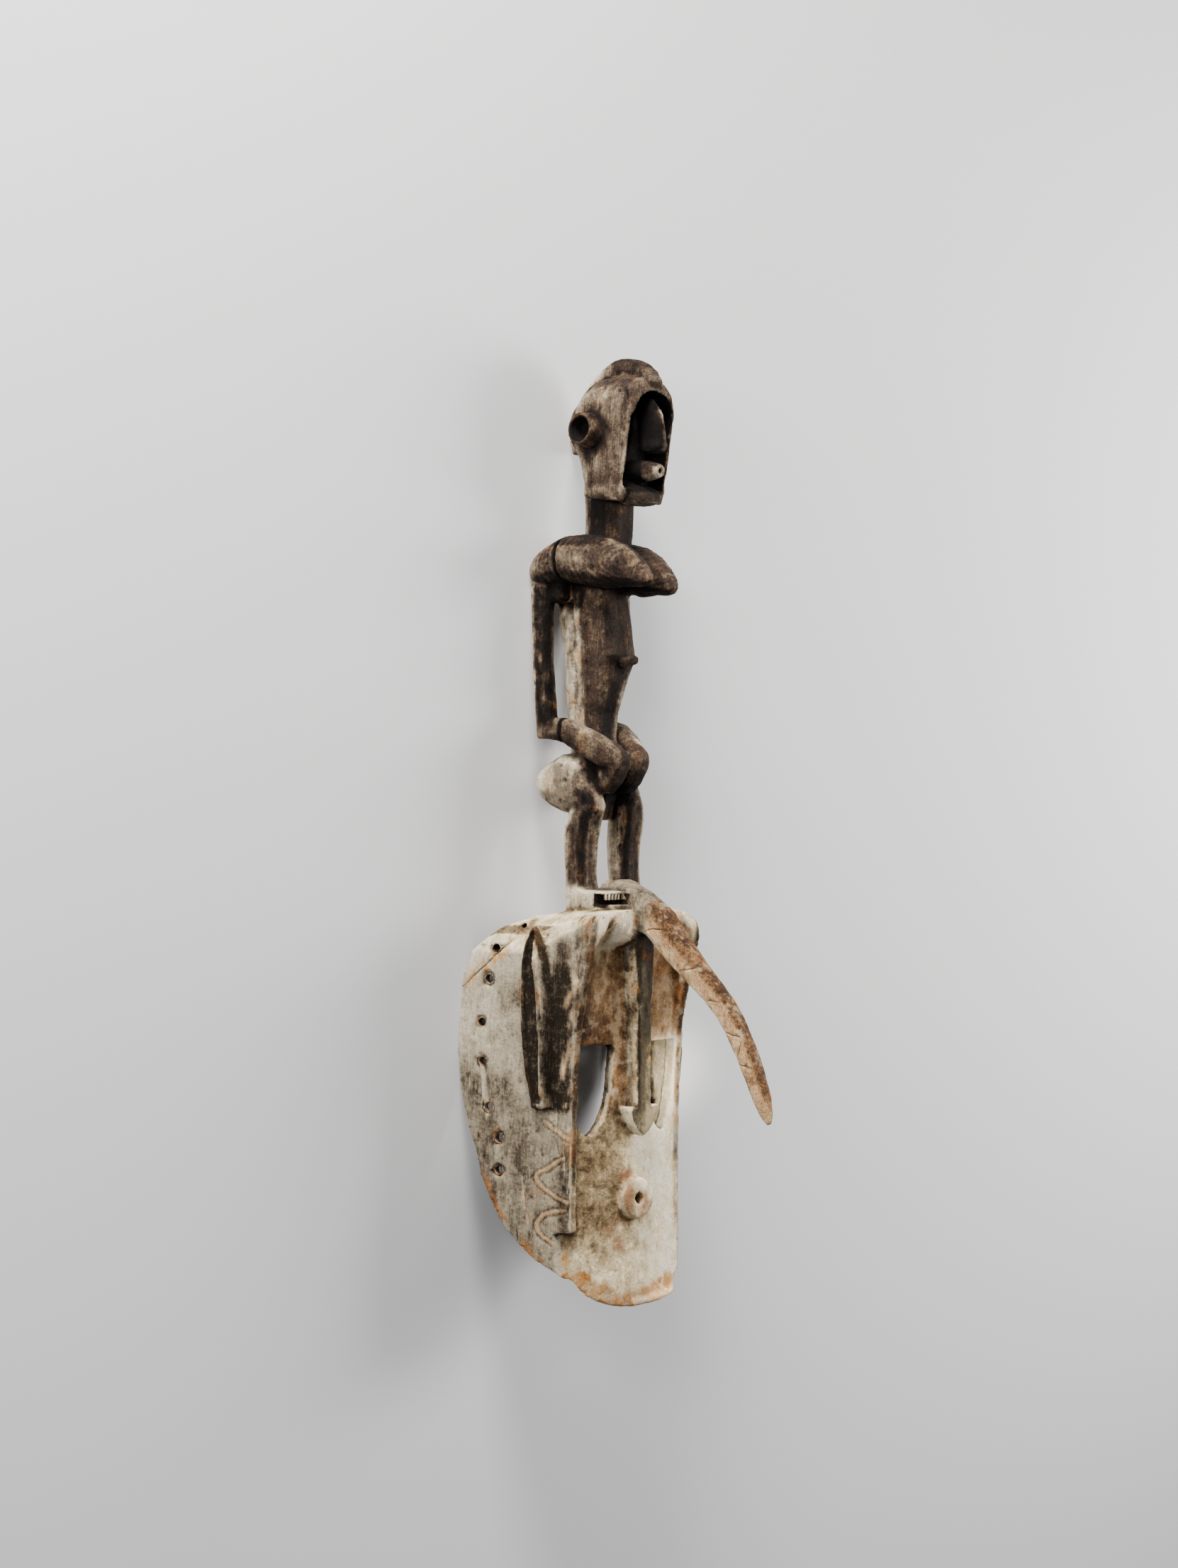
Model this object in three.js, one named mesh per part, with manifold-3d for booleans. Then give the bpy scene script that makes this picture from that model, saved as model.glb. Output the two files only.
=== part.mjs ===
// Carved wooden face mask with a hornbill's beak and a standing female figure on top, lying on its back.
// Lengths are millimetres. The work is laid out as it is worn: x to the mask's right, y forward, z up.
// A last turn lays the finished pieces on their back, with the chin at -Y and the face towards +Z.
import * as THREE from 'three';
import { mergeVertices } from 'three/addons/utils/BufferGeometryUtils.js';
import Module from 'manifold-3d';

const wasm = await Module();
wasm.setup();

// Driving dimensions of the mask
const MASK_TOP = 371;
const CHIN_BOTTOM = 4;
const CHIN_SQUARE = 0.62;
const NEAR_CHIN_SQUARE = 1.12;
const HALF_WIDTH = 75;
const WALL = 11;
const FACE_THICKNESS = 13;
const FLARE = 0.28;
const FLARE_START = 35;
const BACK = -79;
const CHIN_SPRING = 50;
const NEAR_EDGE_FOOT = 78;
const ROOF_THICKNESS = 20;
const SHOULDER_FALL = 38;
const FAR_BROW_FALL = 26;
const FACE_PLANE = 41;
const FACE_SAG = 16;
const FAR_FACE_SAG = 7;
const CHANNEL_FOOT = 300;
const GABLE_FOOT = 333;
const GABLE_TOP = 364;
const NOSE_FRONT = 58;
const NOSE_HALF_WIDTH = 9;
const GABLE_X = 46;
const EYE_TOP = 247;
const EYE_TIP = 163;
const MOUTH_HEIGHT = 105;
const MOUTH_RADIUS = 21;
const MOUTH_HOLE = 5.3;
const MOUTH_FRONT = 52;
const TIE_HOLE = 4;
const EAR_LENGTH = 166;
const EAR_MIDDLE = 274;
const EAR_PROUD = 18;

// Driving dimensions of the beak and the figure
const FOOT_TOP = 389;
const TOES = 6;
const LEG_HALF = 14;
const LEG_X = 29;
const SHOULDER_HEIGHT = 691;
const ARM_X = 42;
const ARM_Y = -32;
const ARMPIT_HEIGHT = 654;
const ELBOW_HEIGHT = 532;
const BREAK_Y = -5.5;
const BREAK_X = 30;
const BREAK_GAP = 0.7;
const HEAD_HALF_WIDTH = 31;
const FACE_BACK = 46;
const JAW = 744;
const ARCH_SPRING = 818;
const CREST_HALF_WIDTH = 9;

// How the finished work lies
const WALL_REST = [-77, 284];
const SHOULDER_REST = [-44, 686];
const FLAT_DEPTH = 1;
const BIG = 400;

// Solids from three.js geometry

function solid(geometry) {
  let form = geometry.index ? geometry.toNonIndexed() : geometry.clone();
  form.deleteAttribute('normal');
  form.deleteAttribute('uv');
  form = mergeVertices(form, 1e-4);
  const places = form.attributes.position.array;
  const corners = Array.from(form.index.array);
  const kept = [];
  let volume = 0;
  const a = new THREE.Vector3();
  const b = new THREE.Vector3();
  const c = new THREE.Vector3();
  for (let i = 0; i < corners.length; i += 3) {
    const [p, q, r] = corners.slice(i, i + 3);
    if (p === q || q === r || r === p) continue;
    a.fromArray(places, 3 * p);
    b.fromArray(places, 3 * q);
    c.fromArray(places, 3 * r);
    volume += a.dot(b.cross(c));
    kept.push([p, q, r]);
  }
  const triVerts = new Uint32Array(kept.flatMap((t) => (volume < 0 ? [t[0], t[2], t[1]] : t)));
  return new wasm.Manifold(new wasm.Mesh({ numProp: 3, vertProperties: new Float32Array(places), triVerts }));
}

function box(x0, x1, y0, y1, z0, z1) {
  const form = new THREE.BoxGeometry(x1 - x0, y1 - y0, z1 - z0);
  form.translate((x0 + x1) / 2, (y0 + y1) / 2, (z0 + z1) / 2);
  return solid(form);
}

// A flat outline run along an axis: 'x' reads its points as y and z, 'y' as x and z, 'z' as x and y
function plank(points, axis, from, to) {
  const shape = new THREE.Shape(points.map(([a, b]) => new THREE.Vector2(a, b)));
  const form = new THREE.ExtrudeGeometry(shape, { depth: to - from, bevelEnabled: false });
  form.translate(0, 0, from);
  const place = form.attributes.position;
  for (let i = 0; i < place.count; i++) {
    const [a, b, run] = [place.getX(i), place.getY(i), place.getZ(i)];
    if (axis === 'x') place.setXYZ(i, run, a, b);
    if (axis === 'y') place.setXYZ(i, a, run, b);
  }
  return solid(form);
}

// A closed form whose skin runs through rings that have the same number of points each
function skin(rings) {
  const sides = rings[0].length;
  const levels = rings.length - 1;
  const form = new THREE.CylinderGeometry(1, 1, levels, sides, levels);
  const place = form.attributes.position;
  for (let i = 0; i < place.count; i++) {
    const ring = rings[Math.round(levels / 2 - place.getY(i))];
    const [x, z] = [place.getX(i), place.getZ(i)];
    const turn = Math.round((Math.atan2(x, z) / (2 * Math.PI)) * sides);
    const middle = ring.reduce((sum, p) => sum.add(p), new THREE.Vector3()).divideScalar(sides);
    const point = Math.hypot(x, z) < 0.5 ? middle : ring[(turn + sides) % sides];
    place.setXYZ(i, point.x, point.y, point.z);
  }
  return solid(form);
}

// A limb through stations of [x, y, z, half width, half depth, lean of the depth, squareness]
function limb(stations, sides = 14) {
  return skin(stations.map(([x, y, z, wide, deep, lean = 0, square = 2.6]) => {
    const ring = [];
    const [rise, run] = [Math.sin((lean * Math.PI) / 180), Math.cos((lean * Math.PI) / 180)];
    for (let i = 0; i < sides; i++) {
      const turn = (2 * Math.PI * (i + 0.5)) / sides;
      const [s, c] = [Math.sin(turn), Math.cos(turn)];
      const across = wide * Math.sign(s) * Math.abs(s) ** (2 / square);
      const along = deep * Math.sign(c) * Math.abs(c) ** (2 / square);
      ring.push(new THREE.Vector3(x + across, y + along * run, z + along * rise));
    }
    return ring;
  }));
}

// A round bar or bore from one point to another
function rod(from, to, radius, sides = 14, endRadius = radius) {
  const [a, b] = [new THREE.Vector3(...from), new THREE.Vector3(...to)];
  const form = new THREE.CylinderGeometry(endRadius, radius, a.distanceTo(b), sides);
  const up = new THREE.Vector3(0, 1, 0);
  form.applyQuaternion(new THREE.Quaternion().setFromUnitVectors(up, b.clone().sub(a).normalize()));
  form.translate((a.x + b.x) / 2, (a.y + b.y) / 2, (a.z + b.z) / 2);
  return solid(form);
}

function join(forms) {
  return forms.reduce((whole, form) => whole.add(form));
}

function cut(form, tools) {
  return tools.reduce((rest, tool) => rest.subtract(tool), form);
}

function pair(make) {
  return make(1).add(make(-1));
}

// The mask

// Half width of the side walls' outer faces at a place y: they spread towards the back to take a head
function wallX(y) {
  return HALF_WIDTH + Math.max(FLARE_START - y, 0) * FLARE;
}

// How far forward the face stands: level in the eye channels, arched across the mouth and the chin
function faceY(x, z) {
  const low = THREE.MathUtils.smoothstep(CHANNEL_FOOT - z, 0, 130);
  return FACE_PLANE - (x > 0 ? FACE_SAG : FAR_FACE_SAG) * low * (x / (HALF_WIDTH - WALL)) ** 2;
}

// The mask seen from the front, run from front to back between its spreading walls
function frontForm(inset, roof) {
  const rise = CHIN_SPRING - CHIN_BOTTOM - inset;
  return skin([110, 62, FLARE_START, -5, BACK - 40].map((y) => {
    const wide = wallX(y) - inset;
    const nearFall = SHOULDER_FALL * THREE.MathUtils.clamp(1 - (0.8 * (y + 5)) / 67, 0.2, 1);
    const farFall = Math.max(nearFall, FAR_BROW_FALL);
    const ring = [];
    for (let i = 0; i <= 16; i++) {
      const [c, s] = [Math.cos((Math.PI * i) / 16), Math.sin((Math.PI * i) / 16)];
      const square = c > 0 ? NEAR_CHIN_SQUARE : CHIN_SQUARE;
      const across = wide * Math.sign(c) * Math.abs(c) ** square;
      ring.push(new THREE.Vector3(across, y, CHIN_SPRING - rise * s ** square));
    }
    const slope = (fall) => [
      [wide, roof - fall], [wide - 0.28 * fall, roof - 0.46 * fall], [wide - 0.8 * fall, roof - 0.16 * fall],
      [32, roof],
    ];
    for (const [x, z] of slope(farFall)) ring.push(new THREE.Vector3(-x, y, z));
    for (const [x, z] of slope(nearFall).reverse()) ring.push(new THREE.Vector3(x, y, z));
    return ring;
  }));
}

// The round back edge of the side walls, from the chin up to the roof
const backEdge = [
  [31, 0], [30, 18], [25, 32], [14, 43], [-1, 51], [-17, 64], [-32, 79], [-42, 95], [-49, 111], [-56, 125],
  [-60, 145], [-67, 165], [-72, 184], [-76, 200], [-78, 224], [BACK, 253], [-77, 284], [-74, 308], [-67, 330],
  [-55, 345], [-41, 356], [-25, 364], [0, 370], [24, MASK_TOP + 1],
];

// The mask seen from its side, with leaning front edges
function sideForm() {
  const frontEdge = [
    [62, MASK_TOP + 1], [62, 352], [48, 298], [40, 265], [35.5, 220], [34, 169], [33, 111], [33, 20],
    [44, 10], [44, 0],
  ];
  return plank(frontEdge.concat(backEdge), 'x', -BIG, BIG);
}

// The room for the wearer's head, open at the back and, before the face is set in, at the front
function hollow() {
  const under = MASK_TOP - ROOF_THICKNESS;
  const side = plank([
    [BIG, 30], [28, 34], [16, 55], [0, 65], [-14, 77], [-BIG, 77], [-BIG, 322], [-58, 322], [-42, 331],
    [-20, 342], [20, under], [BIG, under],
  ], 'x', -BIG, BIG);
  return frontForm(WALL, under).intersect(side);
}

// A slab that follows the face from y = faceY + from to y = faceY + to, between two heights
function faceLayer(from, to, low, high, halfWidth) {
  const form = new THREE.BoxGeometry(2 * halfWidth, 1, high - low, 12, 1, 10);
  const place = form.attributes.position;
  for (let i = 0; i < place.count; i++) {
    const [x, z] = [place.getX(i), place.getZ(i) + (low + high) / 2];
    place.setXYZ(i, x, faceY(x, z) + (place.getY(i) < 0 ? from : to), z);
  }
  return solid(form);
}

// The brow over the eye channels
function brow() {
  return box(-HALF_WIDTH, HALF_WIDTH, FACE_PLANE - FACE_THICKNESS, 62, GABLE_FOOT - 2, MASK_TOP)
    .intersect(frontForm(0, MASK_TOP)).intersect(sideForm());
}

// The gabled top of an eye channel, whose ceiling rises forward
function gable(side) {
  const inner = HALF_WIDTH - WALL;
  const foot = GABLE_FOOT - 20;
  const ring = (y, points) => points.map(([x, z]) => new THREE.Vector3(side * x, y, z));
  const front = [
    [12, foot], [inner + 2, foot], [inner + 4, GABLE_FOOT + 5], [GABLE_X, GABLE_TOP + 6],
    [14, GABLE_FOOT + 14],
  ];
  const back = [
    [12, foot], [inner, foot], [inner, GABLE_FOOT + 1], [GABLE_X - 6, GABLE_FOOT + 5],
    [14, GABLE_FOOT + 2],
  ];
  return skin([ring(70, front), ring(FACE_PLANE, back)]);
}

// The foot of the mask's right edge, worn back to the face below the mouth
function nearEdgeLoss() {
  return faceLayer(0, 60, -10, NEAR_EDGE_FOOT, 120).intersect(box(0, 130, -BIG, BIG, -20, NEAR_EDGE_FOOT));
}

function eyeHole(side) {
  const outline = [
    [20, EYE_TOP - 5], [21.5, 222], [23, 206], [26.5, 190], [32, 177], [39, EYE_TIP + 4], [46, EYE_TIP],
    [52, EYE_TIP + 3], [57.5, EYE_TIP + 12], [61.5, EYE_TIP + 26], [64.5, EYE_TIP + 48], [64.5, EYE_TOP],
    [23, EYE_TOP],
  ];
  return plank(outline.map(([x, z]) => [side * x, z]), 'y', 0, 60);
}

// The nose: a straight bar that ends in an arrow's head
function nose() {
  const back = FACE_PLANE - 8;
  const bar = box(-NOSE_HALF_WIDTH, NOSE_HALF_WIDTH, back, NOSE_FRONT, 180, 290);
  const root = limb([
    [0, 44, 350, 15, 17, 0, 4], [0, 45, 310, 13, 16, 0, 4], [0, 45, 290, 12, 15, 0, 4],
    [0, 44, 272, NOSE_HALF_WIDTH - 1, 13, 0, 4],
  ], 12);
  const head = [[0, 162], [8, 168], [15, 177], [18, 186], [17.5, 191], [13, 191], [9, 187]];
  const outline = head.concat(head.slice(1).reverse().map(([x, z]) => [-x, z]));
  return join([bar, root, plank(outline, 'y', back, NOSE_FRONT)]);
}

// A long leaf-shaped ear with a deep groove down its length
function ear(side) {
  const levels = 10;
  const leaf = (section, grow) => {
    const rings = [];
    for (let i = 0; i <= levels; i++) {
      const t = i / levels;
      const swell = Math.max(Math.sin(Math.PI * t) ** (t < 0.5 ? 0.5 : 0.3), t < 0.5 ? 0.2 : 0.6) * grow;
      const z = EAR_MIDDLE + EAR_LENGTH * (0.5 - t) * (grow < 1 ? 0.94 : 1);
      const middle = 4.7 + 8.4 * (t - 0.5);
      rings.push(section.map(([along, proud]) => {
        const y = middle + along * swell;
        return new THREE.Vector3(side * (wallX(y) + proud * Math.min(1, swell * 1.3)), y, z);
      }));
    }
    return skin(rings);
  };
  const body = [
    [14.3, -5], [14.2, 8], [13.6, EAR_PROUD], [9, EAR_PROUD], [-6, 12], [-12, 10.5], [-14, 8.5], [-14.6, -5],
  ];
  const groove = [
    [10.6, EAR_PROUD + 14], [8.8, EAR_PROUD - 3], [2.5, 2.6], [-5, 1], [-10.8, 5], [-11.8, EAR_PROUD + 14],
  ];
  return leaf(body, 1).subtract(leaf(groove, 0.92));
}

// The cord holes along the back edge of each side wall
function tieHoles(side) {
  const places = [
    [-20, 355, 3], [-41, 335], [-47.5, 307], [-55, 267], [-54, 231], [-49, 189], [-38, 161], [-38, 132],
  ];
  return places.map(([y, z, radius = TIE_HOLE]) => {
    const x = wallX(y);
    return rod([side * (x - 30), y - 30 * FLARE, z], [side * (x + 20), y + 20 * FLARE, z], radius, 8);
  });
}

// The split that runs down between two cord holes of the right wall
function split() {
  const [top, foot] = [[-54, 231], [-49, 189]];
  const outline = [
    [top[0] - 2.5, top[1]], [top[0] + 2, top[1]], [foot[0] + 2, foot[1]], [foot[0] - 2.5, foot[1]],
  ];
  return plank(outline, 'x', 70, 130);
}

function mouth() {
  const [back, front] = [[0, FACE_PLANE - 8, MOUTH_HEIGHT], [0, MOUTH_FRONT, MOUTH_HEIGHT]];
  return rod(back, front, MOUTH_RADIUS, 24, MOUTH_RADIUS - 2);
}

function mask() {
  const shell = frontForm(0, MASK_TOP).intersect(sideForm()).subtract(hollow()).subtract(nearEdgeLoss());
  const beforeBack = plank([[BIG, MASK_TOP + 1], [BIG, 0], ...backEdge], 'x', -BIG, BIG);
  const face = faceLayer(-FACE_THICKNESS, 0, 0, MASK_TOP - 6, HALF_WIDTH + 12)
    .intersect(frontForm(1, MASK_TOP - 6)).intersect(beforeBack);
  const whole = join([shell, face, brow(), nose(), mouth(), pair(ear)]);
  const holes = [gable(1), gable(-1), eyeHole(1), eyeHole(-1), ...tieHoles(1), ...tieHoles(-1), split()];
  holes.push(rod([0, 0, MOUTH_HEIGHT], [0, 80, MOUTH_HEIGHT], MOUTH_HOLE, 12));
  return cut(whole, holes);
}

// The hornbill's beak, which starts as a ridge between the figure's feet
function beak() {
  const course = [
    [10, 384, 13], [31, 382, 17], [53, 372, 17], [77, 358, 16], [100, 334, 14], [121, 315, 12],
    [141, 298, 11], [156, 283, 10.5], [169, 265, 10], [180, 245, 9.5], [190, 224, 9], [197, 207, 8],
    [203, 191, 5.5], [205.5, 184, 2.5],
  ];
  return limb(course.map(([y, z, half], i) => {
    const before = course[Math.max(i - 1, 0)];
    const after = course[Math.min(i + 1, course.length - 1)];
    const lean = Math.atan2(after[0] - before[0], before[1] - after[1]);
    return [0, y, z, half * 0.95, half, (lean * 180) / Math.PI, 3];
  }), 12);
}

// The figure

// A foot with slits for toes over a dark recess; the left foot is shorter and slopes down to its toes
function foot(side) {
  const front = side > 0 ? 46 : 40;
  const fall = side > 0 ? 2 : 12;
  const toeTop = FOOT_TOP - (side > 0 ? 3.5 : 9);
  const sole = [
    [8, front], [8, 4], [12, -6], [20, -11], [28, -12], [36, -9], [41, -2], [43, 10], [42, 34],
    [38, front - 3], [32, front],
  ];
  const block = plank(sole.map(([x, y]) => [side * x, y]), 'z', MASK_TOP - 12, FOOT_TOP);
  const inner = side > 0 ? 14 : -44;
  const hollowUnderToes = box(inner, inner + 30, front - 13, 60, MASK_TOP + 4, toeTop);
  const slope = plank([[6, FOOT_TOP], [70, FOOT_TOP - fall], [70, FOOT_TOP + 9]], 'x', -BIG, BIG);
  const toes = [];
  for (let i = 0; i < TOES; i++) {
    const x = side * (16.5 + (i * 22) / (TOES - 1));
    toes.push(box(x - 1.2, x + 1.2, front - 9, front - 1, MASK_TOP + 5, toeTop + 1));
  }
  return join([cut(block, [hollowUnderToes, slope]), ...toes]);
}

function leg(side) {
  const x = side > 0 ? LEG_X : -LEG_X + 3;
  const knee = side > 0 ? 0 : -3;
  const back = side > 0 ? 3 : 0;
  const shin = limb([
    [x, 14 + knee, 474, 9, 10], [x, 14 + knee, 466, LEG_HALF, 15.5, 0, 3.2],
    [x, 10 - back, 450, LEG_HALF, 15.5, 0, 3.6], [x, 7.5 - back, 432, LEG_HALF, LEG_HALF, 0, 3.6],
    [x, 7 - back, 410, LEG_HALF - 1, LEG_HALF - 1, 0, 3.6],
    [x, 8 - back, 395, LEG_HALF - 1, LEG_HALF - 1, 0, 3.6], [x, 9 - back, FOOT_TOP - 6, LEG_HALF, 15, 0, 3],
  ], 12);
  const thigh = limb([
    [x, -49, 486, 5, 5, 90, 2], [x, -43, 486, 12, 13, 90, 2], [x, -30, 486, 17, 21, 90, 2.2],
    [x, -12, 487, 19, 28, 90, 2.4], [x, 6, 483, 17, 26, 90, 2.4], [x, 17 + knee, 474, 14.5, 18, 90, 2.4],
    [x, 25 + knee, 467, 10, 11, 90, 2.2], [x, 29 + knee, 466, 5, 5, 90, 2],
  ], 12);
  return shin.add(thigh);
}

function torso() {
  const trunk = limb([
    [0, -4, SHOULDER_HEIGHT + 12, 17, 20, 0, 4], [0, -6, 668, 25, 31, 0, 4], [0, -6, 645, 25, 32, 0, 4],
    [0, 1, 603, 23, 32.5, 0, 4], [0, -3.5, 578, 21, 27, 0, 4], [0, -8, 552, 18.5, 22, 0, 4],
    [0, -7, 530, 18, 19, 0, 4], [0, -4, 505, 20, 22, 0, 3], [0, -2, 482, 19, 20], [0, 3, 452, 10, 7],
  ], 12);
  const loins = limb([
    [2, 2, 520, 28, 13, 0, 4], [2.5, 3, 510, 31.5, 17, 0, 4], [1, 4, 480, 30, 18, 0, 4],
  ], 12);
  const navel = rod([0, 22, 598], [0, 47, 600], 7, 10, 4.5);
  return join([trunk, loins, navel]);
}

// A shoulder that runs forward into a pointed breast; the right one rises higher in front of its back
function shoulder(side) {
  const stations = [
    [42, -44, 683, 6, 7], [42, -39, 684, 10, 13], [40, -26, 686, 16, 18.5], [34, -6, 688, 23, 22],
    [28, 14, 686.5, 25.5, 24], [23, 35, 682.5, 22, 24], [20, 53, 679, 17, 19.5],
    [18.5, 67, 673, 12.5, 14.5], [17.5, 76, 668.5, 8.5, 9], [17, 81, 667, 3.5, 4],
  ];
  return limb(stations.map(([x, y, z, wide, deep]) => {
    const rise = side > 0 ? 6 * THREE.MathUtils.smoothstep(y, -38, 0) : 0;
    return [side * x, y, z + rise, wide, deep, 90, 2.2];
  }), 14);
}

function arm(side) {
  const inward = side > 0 ? 0 : 4;
  const drop = side > 0 ? 0 : 5;
  const upper = limb([
    [side * (ARM_X - 2), ARM_Y + 1, SHOULDER_HEIGHT, 7, 8], [side * ARM_X, ARM_Y, 668, 9, 10, 0, 3.4],
    [side * ARM_X, ARM_Y, 600, 8.5, 9.5, 0, 3.4], [side * (ARM_X - 2), ARM_Y + 3, 548, 8.5, 10, 0, 3.4],
    [side * (ARM_X - 2), ARM_Y + 5, 528, 8, 11, 0, 3],
  ], 12);
  const fore = limb([
    [side * (ARM_X - 2), ARM_Y - 5, 538, 6, 8, 90, 3], [side * (ARM_X - 2), ARM_Y + 3, 538, 9, 10, 90, 3],
    [side * 38, -6, 535.5 - drop, 11, 11.5, 84, 3], [side * 29, 14, 523.5 - drop, 12.5, 13, 80, 3],
    [side * 20 + inward, 30, 513 - 0.6 * drop, 12.5, 13.5, 76, 3],
    [side * 16 + inward, 41, 505.5, 11, 11.5, 70, 2.8], [side * 14.5 + inward, 46, 501, 8, 8, 70, 2.6],
  ], 12);
  const armpit = limb([
    [side * 31, -22, SHOULDER_HEIGHT, 13, 15, 0, 4], [side * 31, -22, ARMPIT_HEIGHT + 4, 13, 14, 0, 4],
    [side * 31, -22, ARMPIT_HEIGHT, 11, 11, 0, 4],
  ], 12);
  const hand = limb([
    [side * 16 + inward, 30, 516, 11, 14, 0, 3], [side * 15 + inward, 33, 500, 12, 14, 0, 3],
    [side * 15 + inward, 27, 487, 11, 12, 0, 2.8], [side * 16 + inward, 20, 477, 9, 9, 0, 2.6],
  ], 12);
  return join([upper, armpit, fore, hand]);
}

function head() {
  const mid = HEAD_HALF_WIDTH;
  const skull = limb([
    [0, 38, 862, 9, 20, 0, 2.4], [0, 37, 858, 19, 29, 0, 3], [0, 36, 852, 26, 33, 0, 4],
    [0, 35, 843, 29.5, 36.5, 0, 6], [0, 29.5, 826, mid, 43, 0, 8], [0, 27, 807, mid, 41, 0, 9],
    [0, 32, 786, mid, 31.5, 0, 12], [0, 32.5, JAW + 18, mid, 25, 0, 12],
    [0, 32, JAW + 12, mid + 1, 25, 0, 12], [0, 30.5, JAW, mid, 22.5, 0, 12],
  ], 20);
  const jawSlope = plank([[-20, JAW + 9], [90, JAW - 5], [90, JAW - 30], [-20, JAW - 30]], 'x', -BIG, BIG);
  const recess = box(-26.5, 28, FACE_BACK, 90, JAW + 13, ARCH_SPRING);
  const arch = rod([0.75, FACE_BACK, ARCH_SPRING], [0.75, 90, ARCH_SPRING], 27.25, 18);
  const chin = limb([
    [0, 44, JAW + 8, 22, 11, 90, 4], [0, 57, JAW + 6, 19, 9, 90, 4], [0, 66, JAW + 4, 13, 5, 90, 3],
  ], 12);
  const noseRidge = limb([
    [0, 57, 839, 4, 12], [0, 64, 824, 4.5, 16], [0, 66, 806, 5, 17], [0, 67, 798, 6, 16.5],
    [0, 66, 791, 6, 14],
  ], 8);
  const wings = limb([[0, 68, 801, 5.5, 13], [0, 70, 795, 9.5, 14], [0, 68, 789, 9, 11]], 10);
  const lips = rod([0, 38, 773], [0, 61, 773], 11, 14, 10.5)
    .add(rod([0, 61, 773], [0, 77, 772], 10.5, 14, 6.3));
  const lipHole = rod([0, 66, 772], [0, 90, 772], 2.4, 8);
  const eyeArc = (side) => rod([side * 14, 38, 822], [side * 14, 54, 822], 8, 12, 5);
  const face = join([noseRidge, wings, lips, pair(eyeArc)]);
  const shaped = cut(skull, [jawSlope, recess, arch]);
  return join([shaped, chin, face.subtract(lipHole), crest(), pair(headEar)]);
}

// The raised band of hair from the forehead over the crown to the nape
function crest() {
  const outer = [
    [74, 853], [66, 865], [56, 872.5], [46, 877], [36, 878], [26, 876.5], [15, 871], [4, 864], [-6, 856],
    [-15, 844], [-22, 829], [-28, 815], [-30, 804], [-26, 793],
  ];
  const inner = [[-8, 796], [-10, 830], [4, 848], [30, 857], [58, 857], [66, 852]];
  return plank(outer.concat(inner), 'x', -CREST_HALF_WIDTH, CREST_HALF_WIDTH);
}

// A hollow trumpet ear that stands straight out of the head
function headEar(side) {
  const tube = rod([side * 24, 18, 810], [side * 47, 18, 812], 17, 16, 15);
  const bore = rod([side * 33, 18, 811], [side * 60, 18, 812], 8, 14, 15.5);
  return tube.subtract(bore);
}

function neck() {
  return limb([
    [0, 13.5, JAW + 14, 18.5, 21, 0, 4], [0, 13.5, 726, 18, 20, 0, 4], [0, 11.5, 700, 19.5, 20, 0, 3.4],
  ], 12);
}

function figure() {
  return join([pair(foot), pair(leg), torso(), pair(shoulder), pair(arm), neck(), head()]);
}

// The parts as separate solids

// The space behind the break, outwards of a line and inwards of the whole
function behindBreak(gap) {
  return box(BREAK_X + gap, BIG, -BIG, BREAK_Y - gap, ELBOW_HEIGHT - 10, SHOULDER_HEIGHT + 30);
}

function toMesh(name, form, colour) {
  const { vertProperties, triVerts } = form.getMesh();
  const geometry = new THREE.BufferGeometry();
  geometry.setAttribute('position', new THREE.BufferAttribute(new Float32Array(vertProperties), 3));
  geometry.setIndex(new THREE.BufferAttribute(new Uint32Array(triVerts), 1));
  const wood = new THREE.MeshStandardMaterial({ color: colour, roughness: 0.85, metalness: 0 });
  const mesh = new THREE.Mesh(geometry, wood);
  mesh.name = name;
  return mesh;
}

// Worn frame to lying frame: the mask's right to -X, its front to +Z and its top to +Y
const laid = new THREE.Matrix4().makeBasis(
  new THREE.Vector3(-1, 0, 0), new THREE.Vector3(0, 0, 1), new THREE.Vector3(0, 1, 0),
);
const tilt = Math.atan2(SHOULDER_REST[0] - WALL_REST[0], SHOULDER_REST[1] - WALL_REST[1]);
const resting = new THREE.Matrix4().makeRotationX(-tilt).multiply(laid);

// The floor under the lying work, which flattens what rests on it
function floorBelow() {
  const contact = new THREE.Vector3(0, ...WALL_REST).applyMatrix4(resting);
  const form = new THREE.BoxGeometry(3 * BIG, 6 * BIG, 100);
  form.translate(0, 0, contact.z + FLAT_DEPTH - 50);
  form.applyMatrix4(resting.clone().invert());
  return solid(form);
}

const carving = cut(join([mask(), beak(), figure()]), [floorBelow()]);
const mended = carving.intersect(behindBreak(0));
const body = carving.subtract(behindBreak(-BREAK_GAP));

const work = new THREE.Group();
work.add(toMesh('mask_with_figure', body, 0x8f8778));
work.add(toMesh('refitted_right_arm', mended, 0x7d7265));
work.applyMatrix4(resting);
work.updateMatrixWorld(true);
const bounds = new THREE.Box3().setFromObject(work, true);
work.position.x -= (bounds.min.x + bounds.max.x) / 2;
work.position.y -= (bounds.min.y + bounds.max.y) / 2;
work.position.z -= bounds.min.z;

const model = new THREE.Group();
model.add(work);
export default model;
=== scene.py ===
"""Looks of the carved mask with a hornbill's beak and a standing figure, lying on its back."""

import math
from types import SimpleNamespace

import bmesh
import bpy
import numpy as np
from mathutils import Matrix, Vector


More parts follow.
